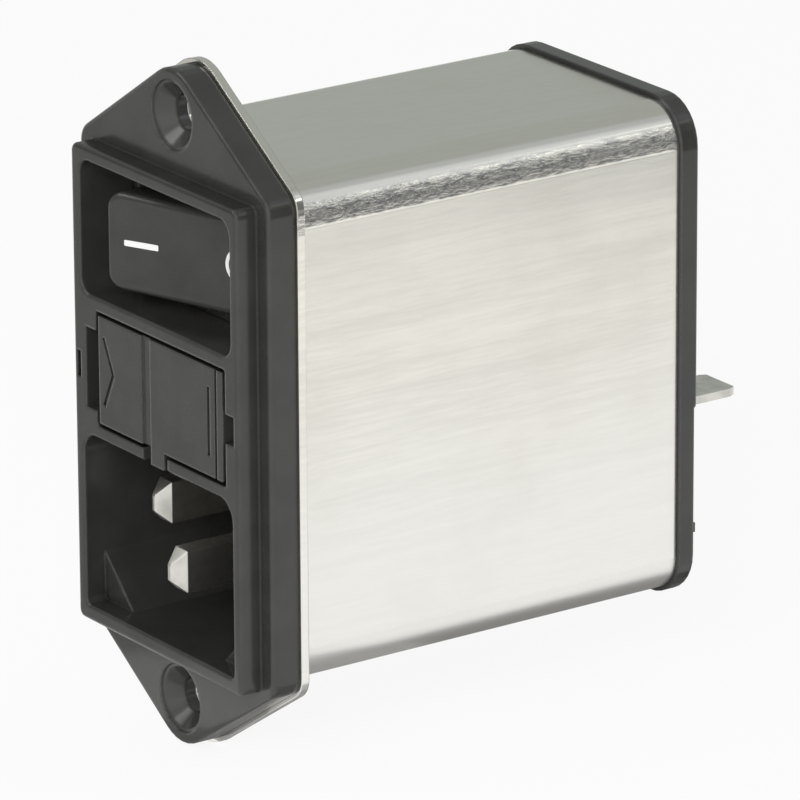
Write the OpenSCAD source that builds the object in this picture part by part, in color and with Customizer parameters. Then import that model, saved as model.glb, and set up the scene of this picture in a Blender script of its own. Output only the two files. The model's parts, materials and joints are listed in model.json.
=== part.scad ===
// Panel-mount mains inlet with rocker switch, fuse drawer and line filter.
// X points right as seen from the front, the front faces -Y and Z points up.
// The origin lies on the panel face, midway between the two fixing holes.

/* [Front moulding] */
// Width of the rim beside the connector recess
rim_side = 1.2; // [1:0.1:1.6]
// Height of the rim above the switch well
rim_top = 1.3; // [1:0.1:2]
// Height of the rim below the connector recess
rim_bottom = 1.5; // [0.9:0.1:1.8]
// Height of the rails above and below the fuse drawer
rail_h = 1.2; // [1.1:0.1:1.6]
// How far the raised block stands in front of the flange
block_proud = 2.2; // [1.5:0.1:3]
// Height of the raised block's middle above the fixing holes' middle
block_shift = -0.35; // [-0.5:0.05:0.2]
// Radius of the raised block's corners
block_r = 0.8; // [0.8:0.1:1.6]
// Thickness of the moulded flange
flange_t = 2.8; // [2.2:0.1:3.5]
// Width of the flange beside the raised block
flange_lip = 1.85; // [1.4:0.05:2.5]
// Radius of the rounded ears round the fixing holes
ear_r = 4.3; // [4.1:0.1:6]
// Radius of the shoulders where the ears meet the sides
shoulder_r = 2; // [1.5:0.1:3]
// Radius of the softened moulded edges
edge_r = 0.4; // [0.3:0.1:0.7]

/* [Fixing holes] */
// Distance of a fixing hole's axis beyond half the raised block's height
hole_offset = 4.85; // [4.7:0.05:6]
// Diameter of the fixing holes
hole_d = 3.3; // [3.1:0.1:3.6]
// Diameter of the countersinks
sink_d = 6; // [5.6:0.1:6.4]

/* [Connector recess] */
// Width of the connector recess
socket_w = 24.2; // [24:0.1:24.6]
// Height of the connector recess
socket_h = 16.6; // [16.4:0.1:17]
// Depth of the recess behind the front face
socket_depth = 17; // [16:0.5:18]
// Radius of the recess's upper corners
socket_r = 2; // [1:0.1:2.5]
// Leg of the keyed lower corners
key_leg = 4.8; // [4:0.1:5.2]
// Distance of the keyed corners behind the front face
key_setback = 2.2; // [1.5:0.1:3]
// Thickness of the wall that holds the pins
pin_wall = 2.5; // [2:0.1:3.5]
// Distance between the line and neutral pins
pin_pitch = 14; // [13.8:0.1:14.2]
// Height of the earth pin below the other two
pin_drop = 4; // [3.8:0.1:4.2]
// Thickness of a pin
pin_t = 2; // [1.8:0.1:2.2]
// Height of a pin
pin_h = 4; // [3.8:0.1:4.2]
// Distance of the line pin's tip behind the front face
pin_tip = 4.2; // [3.5:0.1:5]
// How much further forward the earth pin reaches
earth_reach = 3; // [2:0.1:3.2]

/* [Switch] */
// Height of the switch well
well_h = 12.5; // [12:0.1:13.5]
// Depth of the switch well
well_depth = 5.9; // [5.5:0.1:6.3]
// Radius of the switch well's corners
well_r = 1.5; // [1:0.1:2]
// Length of the rocker
rocker_l = 19.5; // [19:0.1:20]
// Height of the rocker
rocker_h = 9.2; // [8.8:0.1:9.6]
// Tilt of the rocker to either side, in degrees
rocker_tilt = 18; // [15:0.5:18]
// Distance from the rocker's face to its pivot axis
rocker_rise = 3.55; // [3.4:0.05:3.8]
// Radius of the rocker's dished face
dish_r = 51; // [45:1:70]
// Diameter of the rocker's trunnions
trunnion_d = 2; // [1.6:0.1:2.2]
// Distance of the pivot axis behind the well's floor
pivot_drop = 1.55; // [1.5:0.05:2]
// How far the rocker sits below the middle of the well
rocker_drop = 0.4; // [0:0.1:0.6]
// Distance between the two switch poles
pole_pitch = 4.8; // [4.6:0.1:5]
// Throw of a contact lever for each degree of the rocker
lever_ratio = 0.8; // [0.6:0.05:0.8]

/* [Fuse drawer] */
// Height of the drawer's face
drawer_h = 10.2; // [9.9:0.1:10.7]
// Width of the drawer's face without the latch
drawer_w = 18.75; // [18.6:0.05:19]
// Thickness of the drawer's face
drawer_face_t = 2.2; // [2:0.1:2.4]
// Thickness of the latch arm
latch_t = 0.9; // [0.7:0.1:1]
// Width of the slit beside the latch arm
latch_slit = 0.3; // [0.2:0.05:0.4]
// Sideways offset of the drawer bay's middle
bay_shift = 0.85; // [0.6:0.05:0.9]
// Width of the pull tongue
tongue_w = 2.1; // [1.6:0.1:2.4]
// Width of the engraved signs on the drawer
sign_w = 0.4; // [0.2:0.05:0.5]

/* [Fuses] */
// Diameter of the fuse caps
fuse_d = 5.2; // [5:0.1:5.3]
// Length of a fuse
fuse_l = 20; // [19.5:0.1:20.5]
// Length of a fuse cap
fuse_cap_l = 5; // [4.5:0.1:5.5]
// Distance between the two fuses
fuse_pitch = 8.8; // [8.4:0.1:9]

/* [Shield can] */
// Thickness of the can's sheet
sheet_t = 0.8; // [0.6:0.05:1]
// Length of the can behind the panel
can_len = 42.2; // [41:0.1:50]
// Radius of the can's long corners
can_r = 4; // [3.8:0.1:4.4]
// How far the can's flange stands past the moulded one
flange_over = 0.4; // [0.2:0.05:0.7]
// Thickness of the moulded wall round the connector recess
body_wall = 0.7; // [0.65:0.05:1]

/* [Rear cover] */
// Thickness of the cover's rim
cover_t = 2; // [1.5:0.05:2.4]
// Height of the step across the cover's rear face
cover_step = 0.2; // [0.15:0.05:0.6]
// How far the cover's rim stands past the can
cover_over = 0.4; // [0.2:0.1:0.8]
// Length of the cover's spigot inside the can
spigot_l = 2.6; // [2:0.1:4]
// Thickness of the cover's spigot
spigot_t = 1.2; // [0.8:0.1:1.6]

/* [Tabs] */
// Width of the blade tabs
tab_w = 4.8; // [4.6:0.1:5]
// Thickness of the blade tabs
tab_t = 0.8; // [0.5:0.1:1]
// Length of the tabs behind the cover
tab_l = 7.75; // [7:0.05:9]
// Distance of the line and neutral tabs from the middle
tab_x = 7.3; // [6.8:0.1:7.6]
// Height of the line and neutral tabs
tab_z = -6.5; // [-6.7:0.1:-6.3]
// Height of the earth tab
earth_tab_z = -19.6; // [-19.8:0.1:-19.3]

/* [Filter] */
// Thickness of the filter board
board_t = 1.6; // [1:0.1:2]
// Outer diameter of the choke core
core_d = 19; // [17:0.1:19.4]
// Hole diameter of the choke core
core_hole_d = 9; // [8.4:0.1:10]
// Height of the choke core
core_h = 8; // [6:0.1:10]
// Diameter of the choke wire
wire_d = 0.8; // [0.7:0.05:0.9]
// Turns of each choke winding
turns = 10; // [6:1:11]
// Width of the large capacitor
xcap_w = 18; // [14:0.5:20]
// Height of the large capacitor
xcap_h = 8; // [6:0.1:8.2]
// Depth of the large capacitor
xcap_d = 13; // [10:0.5:14]
// Diameter of the small capacitors
ycap_d = 7; // [6:0.1:8]
// Thickness of the small capacitors
ycap_t = 3; // [2:0.1:3.2]
// Diameter of the inner leads
lead_d = 1.5; // [1:0.1:1.7]

/* [Fits] */
// Gap between the moulded body and the can
can_gap = 0.15; // [0.1:0.05:0.25]
// Gap round a sliding or seated moulded piece
slide_gap = 0.25; // [0.15:0.05:0.3]
// Gap above and below the drawer's face
face_gap = 0.4; // [0.2:0.05:0.5]
// Radial gap of a pin in its bearing
pin_gap = 0.05; // [0.03:0.01:0.08]
// Gap between a contact spring and a fuse cap
clip_gap = 0.08; // [0.05:0.01:0.15]
// Gap round a metal strip in its slot
strip_gap = 0.1; // [0.05:0.01:0.15]

/* [Hidden] */
$fn = 64;
over = 1;
hull_fn = 32;

// Planes along Y
front_y = -(sheet_t + flange_t + block_proud);
flange_y = -(sheet_t + flange_t);
socket_floor_y = front_y + socket_depth;
body_rear_y = socket_floor_y + pin_wall;
well_floor_y = front_y + well_depth;
cover_rear_y = can_len + cover_t;
tab_end_y = cover_rear_y + tab_l;
board_rear_y = can_len - spigot_l;
board_y = board_rear_y - board_t;

// Heights of the openings, stacked from the top of the raised block
bay_h = drawer_h + 2 * face_gap;
block_h = rim_top + well_h + rail_h + bay_h + rail_h + socket_h + rim_bottom;
block_w = socket_w + 2 * rim_side;
well_z = block_shift + block_h / 2 - rim_top - well_h / 2;
bay_top = well_z - well_h / 2 - rail_h;
bay_z = bay_top - bay_h / 2;
bay_bottom = bay_top - bay_h;
socket_top = bay_bottom - rail_h;
socket_z = socket_top - socket_h / 2;
socket_bottom = socket_top - socket_h;

// Flange, moulded body and can
flange_w = block_w + 2 * flange_lip;
shoulder_rise = 1;
shoulder_z = block_h / 2 + shoulder_rise - shoulder_r;
hole_z = block_h / 2 + hole_offset;
body_inset = 0.1;
body_w = socket_w + 2 * body_wall;
body_h = block_h - 2 * body_inset;
can_w = body_w + 2 * (can_gap + sheet_t);
can_h = body_h + 2 * (can_gap + sheet_t);
body_r = can_r - sheet_t - can_gap;
block_circles = corner_circles(block_w, block_h, block_r, block_shift);
flange_circles = [
    [0, hole_z, ear_r],
    [-(flange_w / 2 - shoulder_r), shoulder_z, shoulder_r],
    [-(flange_w / 2 - shoulder_r), -shoulder_z, shoulder_r],
    [0, -hole_z, ear_r],
    [flange_w / 2 - shoulder_r, -shoulder_z, shoulder_r],
    [flange_w / 2 - shoulder_r, shoulder_z, shoulder_r]
];

// Pins
pin_z = socket_z + pin_drop / 2;
earth_z = socket_z - pin_drop / 2;
pin_taper_l = 1.4;
pin_tip_t = 0.4 * pin_t;
pin_tip_h = 0.55 * pin_h;
pin_tail_l = 3;
pin_tail_h = 2.4;
pin_tail_t = 1;

// Switch housing
ledge = 0.5;
chamber_r = well_r + ledge - 0.2;
chamber_h = well_h + 2 * ledge;
switch_w = socket_w - 2 * strip_gap;
switch_h = chamber_h - 2 * strip_gap;
pivot_y = well_floor_y + pivot_drop;
rocker_z = well_z - rocker_drop;
rocker_end_rise = dish_r - sqrt(pow(dish_r, 2) - pow(rocker_l / 2, 2));
rocker_well_w = rocker_l + 2.8;
rocker_well_h = rocker_h + 2 * slide_gap;
rocker_well_depth = 3.7;
hub_well_w = 11;
hub_well_depth = 5;
trunnion_l = 1.2;
hub_bottom = 2.3;
hub_half_w = 2.6;
hub_root_w = 4.2;
hub_root_y = -0.4;
rocker_end_t = 2.6;
rocker_draft = 0.3;
rocker_corner_r = 1.2;

// Plunger and contact lever, measured from the rocker's pivot
plunger_r = 0.95;
plunger_c = 3;
plunger_gap = 0.1;
plunger_shoulder = 0.4;
plunger_bore_top = -1.6;
spring_r = 0.66;
spring_wire_r = 0.15;
spring_turns = 3.5;
lever_t = 0.6;
lever_w = 2.4;
lever_left = 4.6;
lever_right = 7;
lever_rivet_x = 6;
rivet_r = 0.95;
rivet_h = 0.45;
rivet_head = 0.25;
nose_r = 0.3;
lever_y = pivot_y + plunger_c + plunger_r + clip_gap + lever_t;
lever_swing = lever_ratio * rocker_tilt;
contact_y = lever_y + (lever_rivet_x + rivet_r) * sin(lever_swing) + rivet_h * cos(lever_swing) + 0.06;
contact_x = lever_rivet_x * cos(lever_swing);
strip_t = 0.6;
switch_floor_y = contact_y + rivet_h + strip_t;
switch_rear_y = switch_floor_y + 1.2;
pole_chamber_l = lever_left + 1.2;
pole_chamber_r = lever_right + 1.8;
pole_chamber_h = 3.5;
contact_strip_end = 8.2;
terminal_l = 4;
terminal_end_y = switch_rear_y + terminal_l;

// Fuse bay and drawer
bay_w = 0.45 + drawer_w + latch_slit + latch_t + 0.5;
bay_left = bay_shift - bay_w / 2;
bay_right = bay_shift + bay_w / 2;
drawer_left = bay_left + 0.45;
drawer_right = drawer_left + drawer_w;
drawer_x = (drawer_left + drawer_right) / 2;
drawer_bottom = bay_bottom + face_gap;
drawer_top = drawer_bottom + drawer_h;
face_rear_y = front_y + drawer_face_t;
tray_w = drawer_w - 1;
tray_wall = 1;
tray_rise = 1.8;
bay_inner_w = tray_w + 2 * slide_gap;
fuse_y = face_rear_y + 0.3;
tray_end_y = fuse_y + fuse_l + 0.2;
tray_rear_y = tray_end_y + tray_wall;
bay_rear_y = tray_rear_y + 0.5;
bay_wall = 1;
fuse_z = drawer_bottom + tray_wall + 0.1 + fuse_d / 2;
latch_l = 10;
latch_z0 = bay_z - 2.4;
latch_z1 = bay_z + 2.4;
tongue_x = 0.25;
tongue_gap = [1.35, 0.6];

// Fuse clips, on lanes to either side of a fuse's middle
clip_lane = 1.2;
clip_w = 1.6;
clip_t = 0.35;
clip_drop_l = 2.6;
clip_lift_l = 1.5;
clip_lift = 1;
clip_touch_z = fuse_z + sqrt(pow(fuse_d / 2, 2) - pow(clip_lane - clip_w / 2, 2)) + clip_gap;
clip_roof_z = bay_top - strip_gap - clip_t / 2;
clip_end_y = bay_rear_y + bay_wall + 2;

// Step, lugs and tab pads on the rear cover
cover_step_z = tab_z + 0.9;
lug_w = 0.9;
lug_h = 0.9;
lug_rise = 0.1;
lug_x = can_w / 2 + cover_over - edge_r - lug_w / 2;
lug_z = -17.1;
pad_rim = 1.2;
tab_root = 0.8;

// Filter board and what stands on it
board_gap = 0.1;
board_w = can_w - 2 * sheet_t - 2 * can_gap - 1;
board_h = can_h - 2 * sheet_t - 2 * can_gap - 1;
part_y = board_y - board_gap;
lead_r = 0.35;
lead_hole_r = lead_r + strip_gap;
lead_gap = 0.4;
lead_end_gap = 0.2;
choke_clear = 2.95;
choke_z = board_h / 2 - core_d / 2 - choke_clear;
choke_front_y = part_y - 2 * wire_d - 2 * board_gap - core_h;
winding_step = 10.2;
winding_first = -(turns - 1) / 2 * winding_step;
choke_lead_x = core_d / 2 + 0.2;
choke_lead_pitch = 8;
choke_lead_z = [choke_z - choke_lead_pitch / 2, choke_z + choke_lead_pitch / 2];
xcap_z = -12.8;
xcap_lead_x = 0.4 * xcap_w;
ycap_x = 5;
ycap_z = -3.3;
ycap_lead_x = 0.32 * ycap_d;
resistor_z = -7.4;
resistor_r = 1.1;
resistor_l = 5.4;
resistor_lead_x = 3.6;
filter_lead_edge = [3.3, 1.65];
filter_lead_pitch = 3.6;
filter_lead_z = board_h / 2 - filter_lead_edge[1];
filter_lead_x = board_w / 2 - filter_lead_edge[0];

// Outline helpers

// Unit normal on the outer side of the tangent from circle a to circle b
function tangent_normal(a, b) =
    let (d = [b[0] - a[0], b[1] - a[1]])
    let (l = norm(d))
    let (u = d / l)
    let (s = (a[2] - b[2]) / l)
    s * u + sqrt(1 - s * s) * [u[1], -u[0]];

// Tangent points of a ring of circles, taken counter-clockwise
function tangent_points(c) = [
    for (i = [0 : len(c) - 1])
        let (a = c[i], b = c[(i + 1) % len(c)], n = tangent_normal(a, b))
        each [[a[0], a[1]] + a[2] * n, [b[0], b[1]] + b[2] * n]
];

// The same circles with their radii cut back
function cut_back(c, by) = [for (q = c) [q[0], q[1], q[2] - by]];

// Corner circles of a rectangle
function corner_circles(w, h, r, z = 0) = [
    for (s = [[1, 1], [-1, 1], [-1, -1], [1, -1]]) [s[0] * (w / 2 - r), z + s[1] * (h / 2 - r), r]
];

// Outline of a strip of even thickness along a bent line
function strip_normal(a, b) = let (d = (b - a) / norm(b - a)) [-d[1], d[0]];
function strip_miter(p, i) =
    i == 0 ? strip_normal(p[0], p[1]) :
    i == len(p) - 1 ? strip_normal(p[i - 1], p[i]) :
    let (n = strip_normal(p[i - 1], p[i]) + strip_normal(p[i], p[i + 1])) 2 * n / (n * n);
function strip_outline(p, t) = concat(
    [for (i = [0 : len(p) - 1]) p[i] + strip_miter(p, i) * t / 2],
    [for (i = [len(p) - 1 : -1 : 0]) p[i] - strip_miter(p, i) * t / 2]
);

// Points of a cubic curve with its four control points
function curve(p, steps) = [
    for (i = [0 : steps])
        let (t = i / steps, s = 1 - t)
        s * s * s * p[0] + 3 * s * s * t * p[1] + 3 * s * t * t * p[2] + t * t * t * p[3]
];
function unit(v) = v / norm(v);
function along(p, i) = unit(p[min(i + 1, len(p) - 1)] - p[max(i - 1, 0)]);

// Tube along a line of points, with the side direction of each ring given
module tube(p, side, r, sides = 8) {
    rings = [
        for (i = [0 : len(p) - 1])
            let (t = along(p, i), b = unit(cross(t, side[i])), n = cross(b, t))
            each [for (j = [0 : sides - 1]) p[i] + r * (cos(360 * j / sides) * n + sin(360 * j / sides) * b)]
    ];
    last = (len(p) - 1) * sides;
    polyhedron(rings, concat(
        [[for (j = [0 : sides - 1]) j]],
        [[for (j = [sides - 1 : -1 : 0]) last + j]],
        [
            for (i = [0 : len(p) - 2])
                for (j = [0 : sides - 1])
                    let (k = (j + 1) % sides)
                    let (a = i * sides, c = a + sides)
                    each [[a + j, c + j, c + k], [a + j, c + k, a + k]]
        ]
    ));
}

// Outline through a ring of circles, with true arcs at its corners
module round_outline(c) {
    polygon(tangent_points(c));
    for (q = c)
        translate([q[0], q[1]]) circle(r = q[2]);
}

// Prism from y0 to y1 of an outline in X and Z
module slab(y0, y1) {
    translate([0, y1, 0]) rotate([90, 0, 0]) linear_extrude(y1 - y0) children();
}

// Prism with its front edge rounded off
module soft_slab(c, y0, y1, r) {
    hull()
        for (a = [0 : 15 : 90])
            slab(y0 + r * (1 - sin(a)), y1) round_outline(cut_back(c, r * (1 - cos(a))), $fn = hull_fn);
}

// Chamfered mouth of an opening, widest at its front y0
module mouth(c, y0, bevel) {
    hull() {
        slab(y0 - over, y0) round_outline(cut_back(c, -bevel), $fn = hull_fn);
        slab(y0, y0 + bevel) round_outline(c, $fn = hull_fn);
    }
}

// Round bar along Y
module rod(r, y0, y1, x = 0, z = 0) {
    translate([x, y1, z]) rotate([90, 0, 0]) cylinder(r = r, h = y1 - y0);
}

// Box between two corners
module box(a, b) {
    translate(a) cube(b - a);
}

// Front moulding

module front_bezel() {
    bay_circles = [
        for (s = [[1, 1], [-1, 1], [-1, -1], [1, -1]])
            [bay_shift + s[0] * (bay_w / 2 - 0.3), bay_z + s[1] * (bay_h / 2 - 0.3), 0.3]
    ];
    color("#2b2b2a")
    difference() {
        union() {
            soft_slab(block_circles, front_y, flange_y + over, edge_r);
            soft_slab(flange_circles, flange_y, -sheet_t, edge_r);
            slab(-sheet_t - over, body_rear_y) round_outline(corner_circles(body_w, body_h, body_r));
            box(
                [drawer_x - bay_inner_w / 2 - bay_wall, body_rear_y - over, bay_bottom - bay_wall],
                [drawer_x + bay_inner_w / 2 + bay_wall, bay_rear_y + bay_wall, bay_top + rail_h - ledge]
            );
        }
        switch_opening();
        slab(front_y - over, face_rear_y) round_outline(bay_circles);
        bay_inside();
        socket_opening();
        for (s = [-1, 1])
            fixing_hole(s * hole_z);
    }
}

// Switch well, and the chamber behind it for the switch housing
module switch_opening() {
    slab(front_y - over, well_floor_y + over)
        round_outline(corner_circles(socket_w, well_h, well_r, well_z));
    mouth(corner_circles(socket_w, well_h, well_r, well_z), front_y, edge_r / 2);
    slab(well_floor_y, body_rear_y + 2 * over)
        round_outline(corner_circles(socket_w, chamber_h, chamber_r, well_z));
}

// Drawer guide, latch pocket, lever slots and tongue notch
module bay_inside() {
    slot_depth = 3.8;
    left_slot = [1.75, -4.1, 3.6];
    right_slot = [1.3, -1.35, 1.4];
    box(
        [drawer_x - bay_inner_w / 2, face_rear_y - over, bay_bottom],
        [drawer_x + bay_inner_w / 2, bay_rear_y, bay_top]
    );
    box(
        [drawer_x - fuse_pitch / 2 - 2.4, bay_rear_y - over, clip_roof_z - clip_t / 2 - strip_gap],
        [drawer_x + fuse_pitch / 2 + 2.4, bay_rear_y + bay_wall + over, bay_top]
    );
    box(
        [drawer_x, face_rear_y - over, latch_z0 - slide_gap],
        [bay_right, face_rear_y + latch_l + 1, latch_z1 + slide_gap]
    );
    box(
        [bay_left - left_slot[0], front_y - over, bay_z + left_slot[1]],
        [bay_left + over, front_y + slot_depth, bay_z + left_slot[2]]
    );
    box(
        [bay_right - over, front_y - over, bay_z + right_slot[1]],
        [bay_right + right_slot[0], front_y + slot_depth, bay_z + right_slot[2]]
    );
    box([-block_w / 2 + 0.55, front_y - over, bay_z - 1.5], [-block_w / 2 + 1.15, front_y + 1.2, bay_z + 1]);
    box(
        [tongue_x - tongue_w / 2 - tongue_gap[0], front_y - over, socket_top - 0.3],
        [tongue_x + tongue_w / 2 + tongue_gap[1], face_rear_y + slide_gap, bay_bottom + over]
    );
}

// Connector recess with keyed lower corners, and the slots for the pins
module socket_opening() {
    corner = 0.6;
    hw = socket_w / 2;
    upper = [
        [hw - socket_r, socket_top - socket_r, socket_r],
        [socket_r - hw, socket_top - socket_r, socket_r]
    ];
    plain = concat(upper, [
        [corner - hw, socket_bottom + corner, corner],
        [hw - corner, socket_bottom + corner, corner]
    ]);
    keyed = concat(upper, [
        [corner - hw, socket_bottom + key_leg, corner],
        [key_leg - hw, socket_bottom + corner, corner],
        [hw - key_leg, socket_bottom + corner, corner],
        [hw - corner, socket_bottom + key_leg, corner]
    ]);
    slab(front_y - over, front_y + key_setback) round_outline(plain);
    slab(front_y, socket_floor_y) round_outline(keyed);
    mouth(plain, front_y, edge_r / 2);
    for (q = [[pin_pitch / 2, pin_z], [-pin_pitch / 2, pin_z], [0, earth_z]])
        box(
            [q[0] - pin_t / 2 - strip_gap, socket_floor_y - over, q[1] - pin_h / 2 - strip_gap],
            [q[0] + pin_t / 2 + strip_gap, body_rear_y + over, q[1] + pin_h / 2 + strip_gap]
        );
}

// Countersunk hole for a panel screw
module fixing_hole(z) {
    lip_d = sink_d + 0.5;
    lip_t = 0.25;
    sink_l = (sink_d - hole_d) / 2;
    rod(hole_d / 2, flange_y - over, over, 0, z);
    rod(lip_d / 2, flange_y - over, flange_y + lip_t, 0, z);
    translate([0, flange_y + lip_t + sink_l, z]) rotate([90, 0, 0])
        cylinder(d1 = hole_d, d2 = sink_d, h = sink_l);
}

// Can and rear cover

module shield_can() {
    color("#d9d8d2")
    difference() {
        union() {
            slab(-sheet_t, 0) round_outline(cut_back(flange_circles, -flange_over));
            slab(-sheet_t / 2, can_len) round_outline(corner_circles(can_w, can_h, can_r));
        }
        slab(-sheet_t - over, can_len + over)
            round_outline(corner_circles(can_w - 2 * sheet_t, can_h - 2 * sheet_t, can_r - sheet_t));
        for (s = [-1, 1])
            rod(hole_d / 2, -sheet_t - over, over, 0, s * hole_z);
    }
}

module rear_cover() {
    rim = corner_circles(can_w + 2 * cover_over, can_h + 2 * cover_over, can_r + cover_over);
    step_r = edge_r + 0.2;
    platform = [
        rim[0], rim[1],
        [step_r - can_w / 2 - cover_over, cover_step_z + step_r, step_r],
        [can_w / 2 + cover_over - step_r, cover_step_z + step_r, step_r]
    ];
    spigot_w = can_w - 2 * (sheet_t + can_gap);
    spigot_h = can_h - 2 * (sheet_t + can_gap);
    color("#2b2b2a")
    difference() {
        union() {
            translate([0, cover_rear_y, 0]) mirror([0, 1, 0]) {
                soft_slab(rim, cover_step, cover_t, edge_r);
                soft_slab(platform, 0, cover_t, edge_r);
            }
            for (x = [-lug_x, lug_x])
                box(
                    [x - lug_w / 2, can_len, lug_z - lug_h / 2],
                    [x + lug_w / 2, cover_rear_y + lug_rise, lug_z + lug_h / 2]
                );
            difference() {
                slab(board_rear_y, can_len + cover_t / 2)
                    round_outline(corner_circles(spigot_w, spigot_h, body_r));
                slab(board_rear_y - over, can_len)
                    round_outline(
                        corner_circles(spigot_w - 2 * spigot_t, spigot_h - 2 * spigot_t, body_r - spigot_t)
                    );
            }
            for (q = tab_places())
                slab(can_len, cover_rear_y) translate([q[0], 0])
                    round_outline(
                        corner_circles(tab_w + 2 * pad_rim, tab_t + 2 * pad_rim, pad_rim / 2, q[1])
                    );
        }
        for (q = tab_places())
            tab_slot(q, can_len - over, cover_rear_y + over);
    }
}

function tab_places() = [[tab_x, tab_z], [-tab_x, tab_z], [0, earth_tab_z]];

module tab_slot(q, y0, y1) {
    box(
        [q[0] - tab_w / 2 - strip_gap, y0, q[1] - tab_t / 2 - strip_gap],
        [q[0] + tab_w / 2 + strip_gap, y1, q[1] + tab_t / 2 + strip_gap]
    );
}

// Blade tab with chamfered end and detent hole
module blade_tab(q) {
    bevel = 0.6;
    detent_d = 1.4;
    detent_back = 4;
    detent_y = tab_end_y - detent_back;
    root_y = board_y - tab_root;
    color("#b9b8ae")
    translate([q[0], 0, q[1] - tab_t / 2])
    difference() {
        linear_extrude(tab_t) polygon([
            [-tab_w / 2, root_y], [tab_w / 2, root_y],
            [tab_w / 2, tab_end_y - bevel], [tab_w / 2 - bevel / 2, tab_end_y],
            [bevel / 2 - tab_w / 2, tab_end_y], [-tab_w / 2, tab_end_y - bevel]
        ]);
        translate([0, detent_y, -over]) cylinder(d = detent_d, h = tab_t + 2 * over);
    }
}

module line_tab() { blade_tab(tab_places()[0]); }
module neutral_tab() { blade_tab(tab_places()[1]); }
module earth_tab() { blade_tab(tab_places()[2]); }

// Connector pins

module pin(x, z, tip_y) {
    shank_y = tip_y + pin_taper_l;
    color("#c9c8c0")
    translate([x, 0, z]) {
        hull() {
            box([-pin_tip_t / 2, tip_y, -pin_tip_h / 2], [pin_tip_t / 2, tip_y + 0.1, pin_tip_h / 2]);
            box([-pin_t / 2, shank_y, -pin_h / 2], [pin_t / 2, shank_y + 0.1, pin_h / 2]);
        }
        box([-pin_t / 2, shank_y, -pin_h / 2], [pin_t / 2, body_rear_y, pin_h / 2]);
        box(
            [-pin_tail_t / 2, body_rear_y - over, -pin_tail_h / 2],
            [pin_tail_t / 2, body_rear_y + pin_tail_l, pin_tail_h / 2]
        );
    }
}

module line_pin() { pin(pin_pitch / 2, pin_z, front_y + pin_tip); }
module neutral_pin() { pin(-pin_pitch / 2, pin_z, front_y + pin_tip); }
module earth_pin() { pin(0, earth_z, front_y + pin_tip - earth_reach); }

// Switch

module switch_body() {
    color("#232322")
    difference() {
        slab(well_floor_y, switch_rear_y)
            round_outline(corner_circles(switch_w, switch_h, chamber_r - strip_gap, well_z));
        translate([0, 0, rocker_z]) {
            box(
                [-rocker_well_w / 2, well_floor_y - over, -rocker_well_h / 2],
                [rocker_well_w / 2, well_floor_y + rocker_well_depth, rocker_well_h / 2]
            );
            box(
                [-hub_well_w / 2, well_floor_y, -rocker_well_h / 2],
                [hub_well_w / 2, well_floor_y + hub_well_depth, rocker_well_h / 2]
            );
            translate([0, pivot_y, -switch_h]) cylinder(d = trunnion_d + 2 * pin_gap, h = 2 * switch_h);
            for (s = [-1, 1])
                translate([0, 0, s * pole_pitch / 2]) pole_chamber();
        }
    }
}

// Room for one pole's lever, with slots for its two terminals
module pole_chamber() {
    box(
        [-pole_chamber_l, well_floor_y + over, -pole_chamber_h / 2],
        [pole_chamber_r, switch_floor_y, pole_chamber_h / 2]
    );
    box(
        [-nose_r - strip_gap, switch_floor_y - over, -lever_w / 2 - strip_gap],
        [nose_r + strip_gap, switch_rear_y + over, lever_w / 2 + strip_gap]
    );
    box(
        [contact_strip_end - strip_t - strip_gap, switch_floor_y - over, -lever_w / 2 - strip_gap],
        [contact_strip_end + strip_gap, switch_rear_y + over, lever_w / 2 + strip_gap]
    );
}

// Puts a piece into the rocker's tilted frame
module on_rocker() {
    translate([0, pivot_y, rocker_z]) rotate([0, 0, rocker_tilt]) children();
}

module rocker() {
    side_y = -(rocker_rise + rocker_end_rise);
    half_l = rocker_l / 2;
    draft_y = side_y + rocker_end_t;
    color("#30302f")
    on_rocker()
    difference() {
        union() {
            intersection() {
                translate([0, 0, -rocker_h / 2]) linear_extrude(rocker_h) polygon([
                    [-half_l, side_y - over], [half_l, side_y - over],
                    [half_l - rocker_draft, draft_y], [hub_root_w, hub_root_y], [hub_half_w, hub_bottom],
                    [-hub_half_w, hub_bottom], [-hub_root_w, hub_root_y], [rocker_draft - half_l, draft_y]
                ]);
                slab(side_y - 2 * over, hub_bottom + over)
                    round_outline(corner_circles(rocker_l, rocker_h, rocker_corner_r));
            }
            translate([0, 0, -rocker_h / 2 - trunnion_l])
                cylinder(d = trunnion_d, h = rocker_h + 2 * trunnion_l);
        }
        translate([0, -rocker_rise - dish_r, -rocker_h]) cylinder(r = dish_r, h = 2 * rocker_h, $fn = 256);
        for (s = [-1, 1])
            rod(plunger_r + plunger_gap, plunger_bore_top, hub_bottom + over, 0, s * pole_pitch / 2);
    }
}

// Round-nosed plunger with a spring peg
module plunger(s) {
    peg_r = 0.4;
    peg_l = 0.8;
    color("#e4e0d2")
    on_rocker() translate([0, 0, s * pole_pitch / 2]) {
        rod(plunger_r, plunger_shoulder, plunger_c);
        translate([0, plunger_c, 0]) sphere(r = plunger_r);
        rod(peg_r, plunger_shoulder - peg_l, plunger_shoulder + 0.2);
    }
}

module plunger_line() { plunger(1); }
module plunger_neutral() { plunger(-1); }

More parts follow.
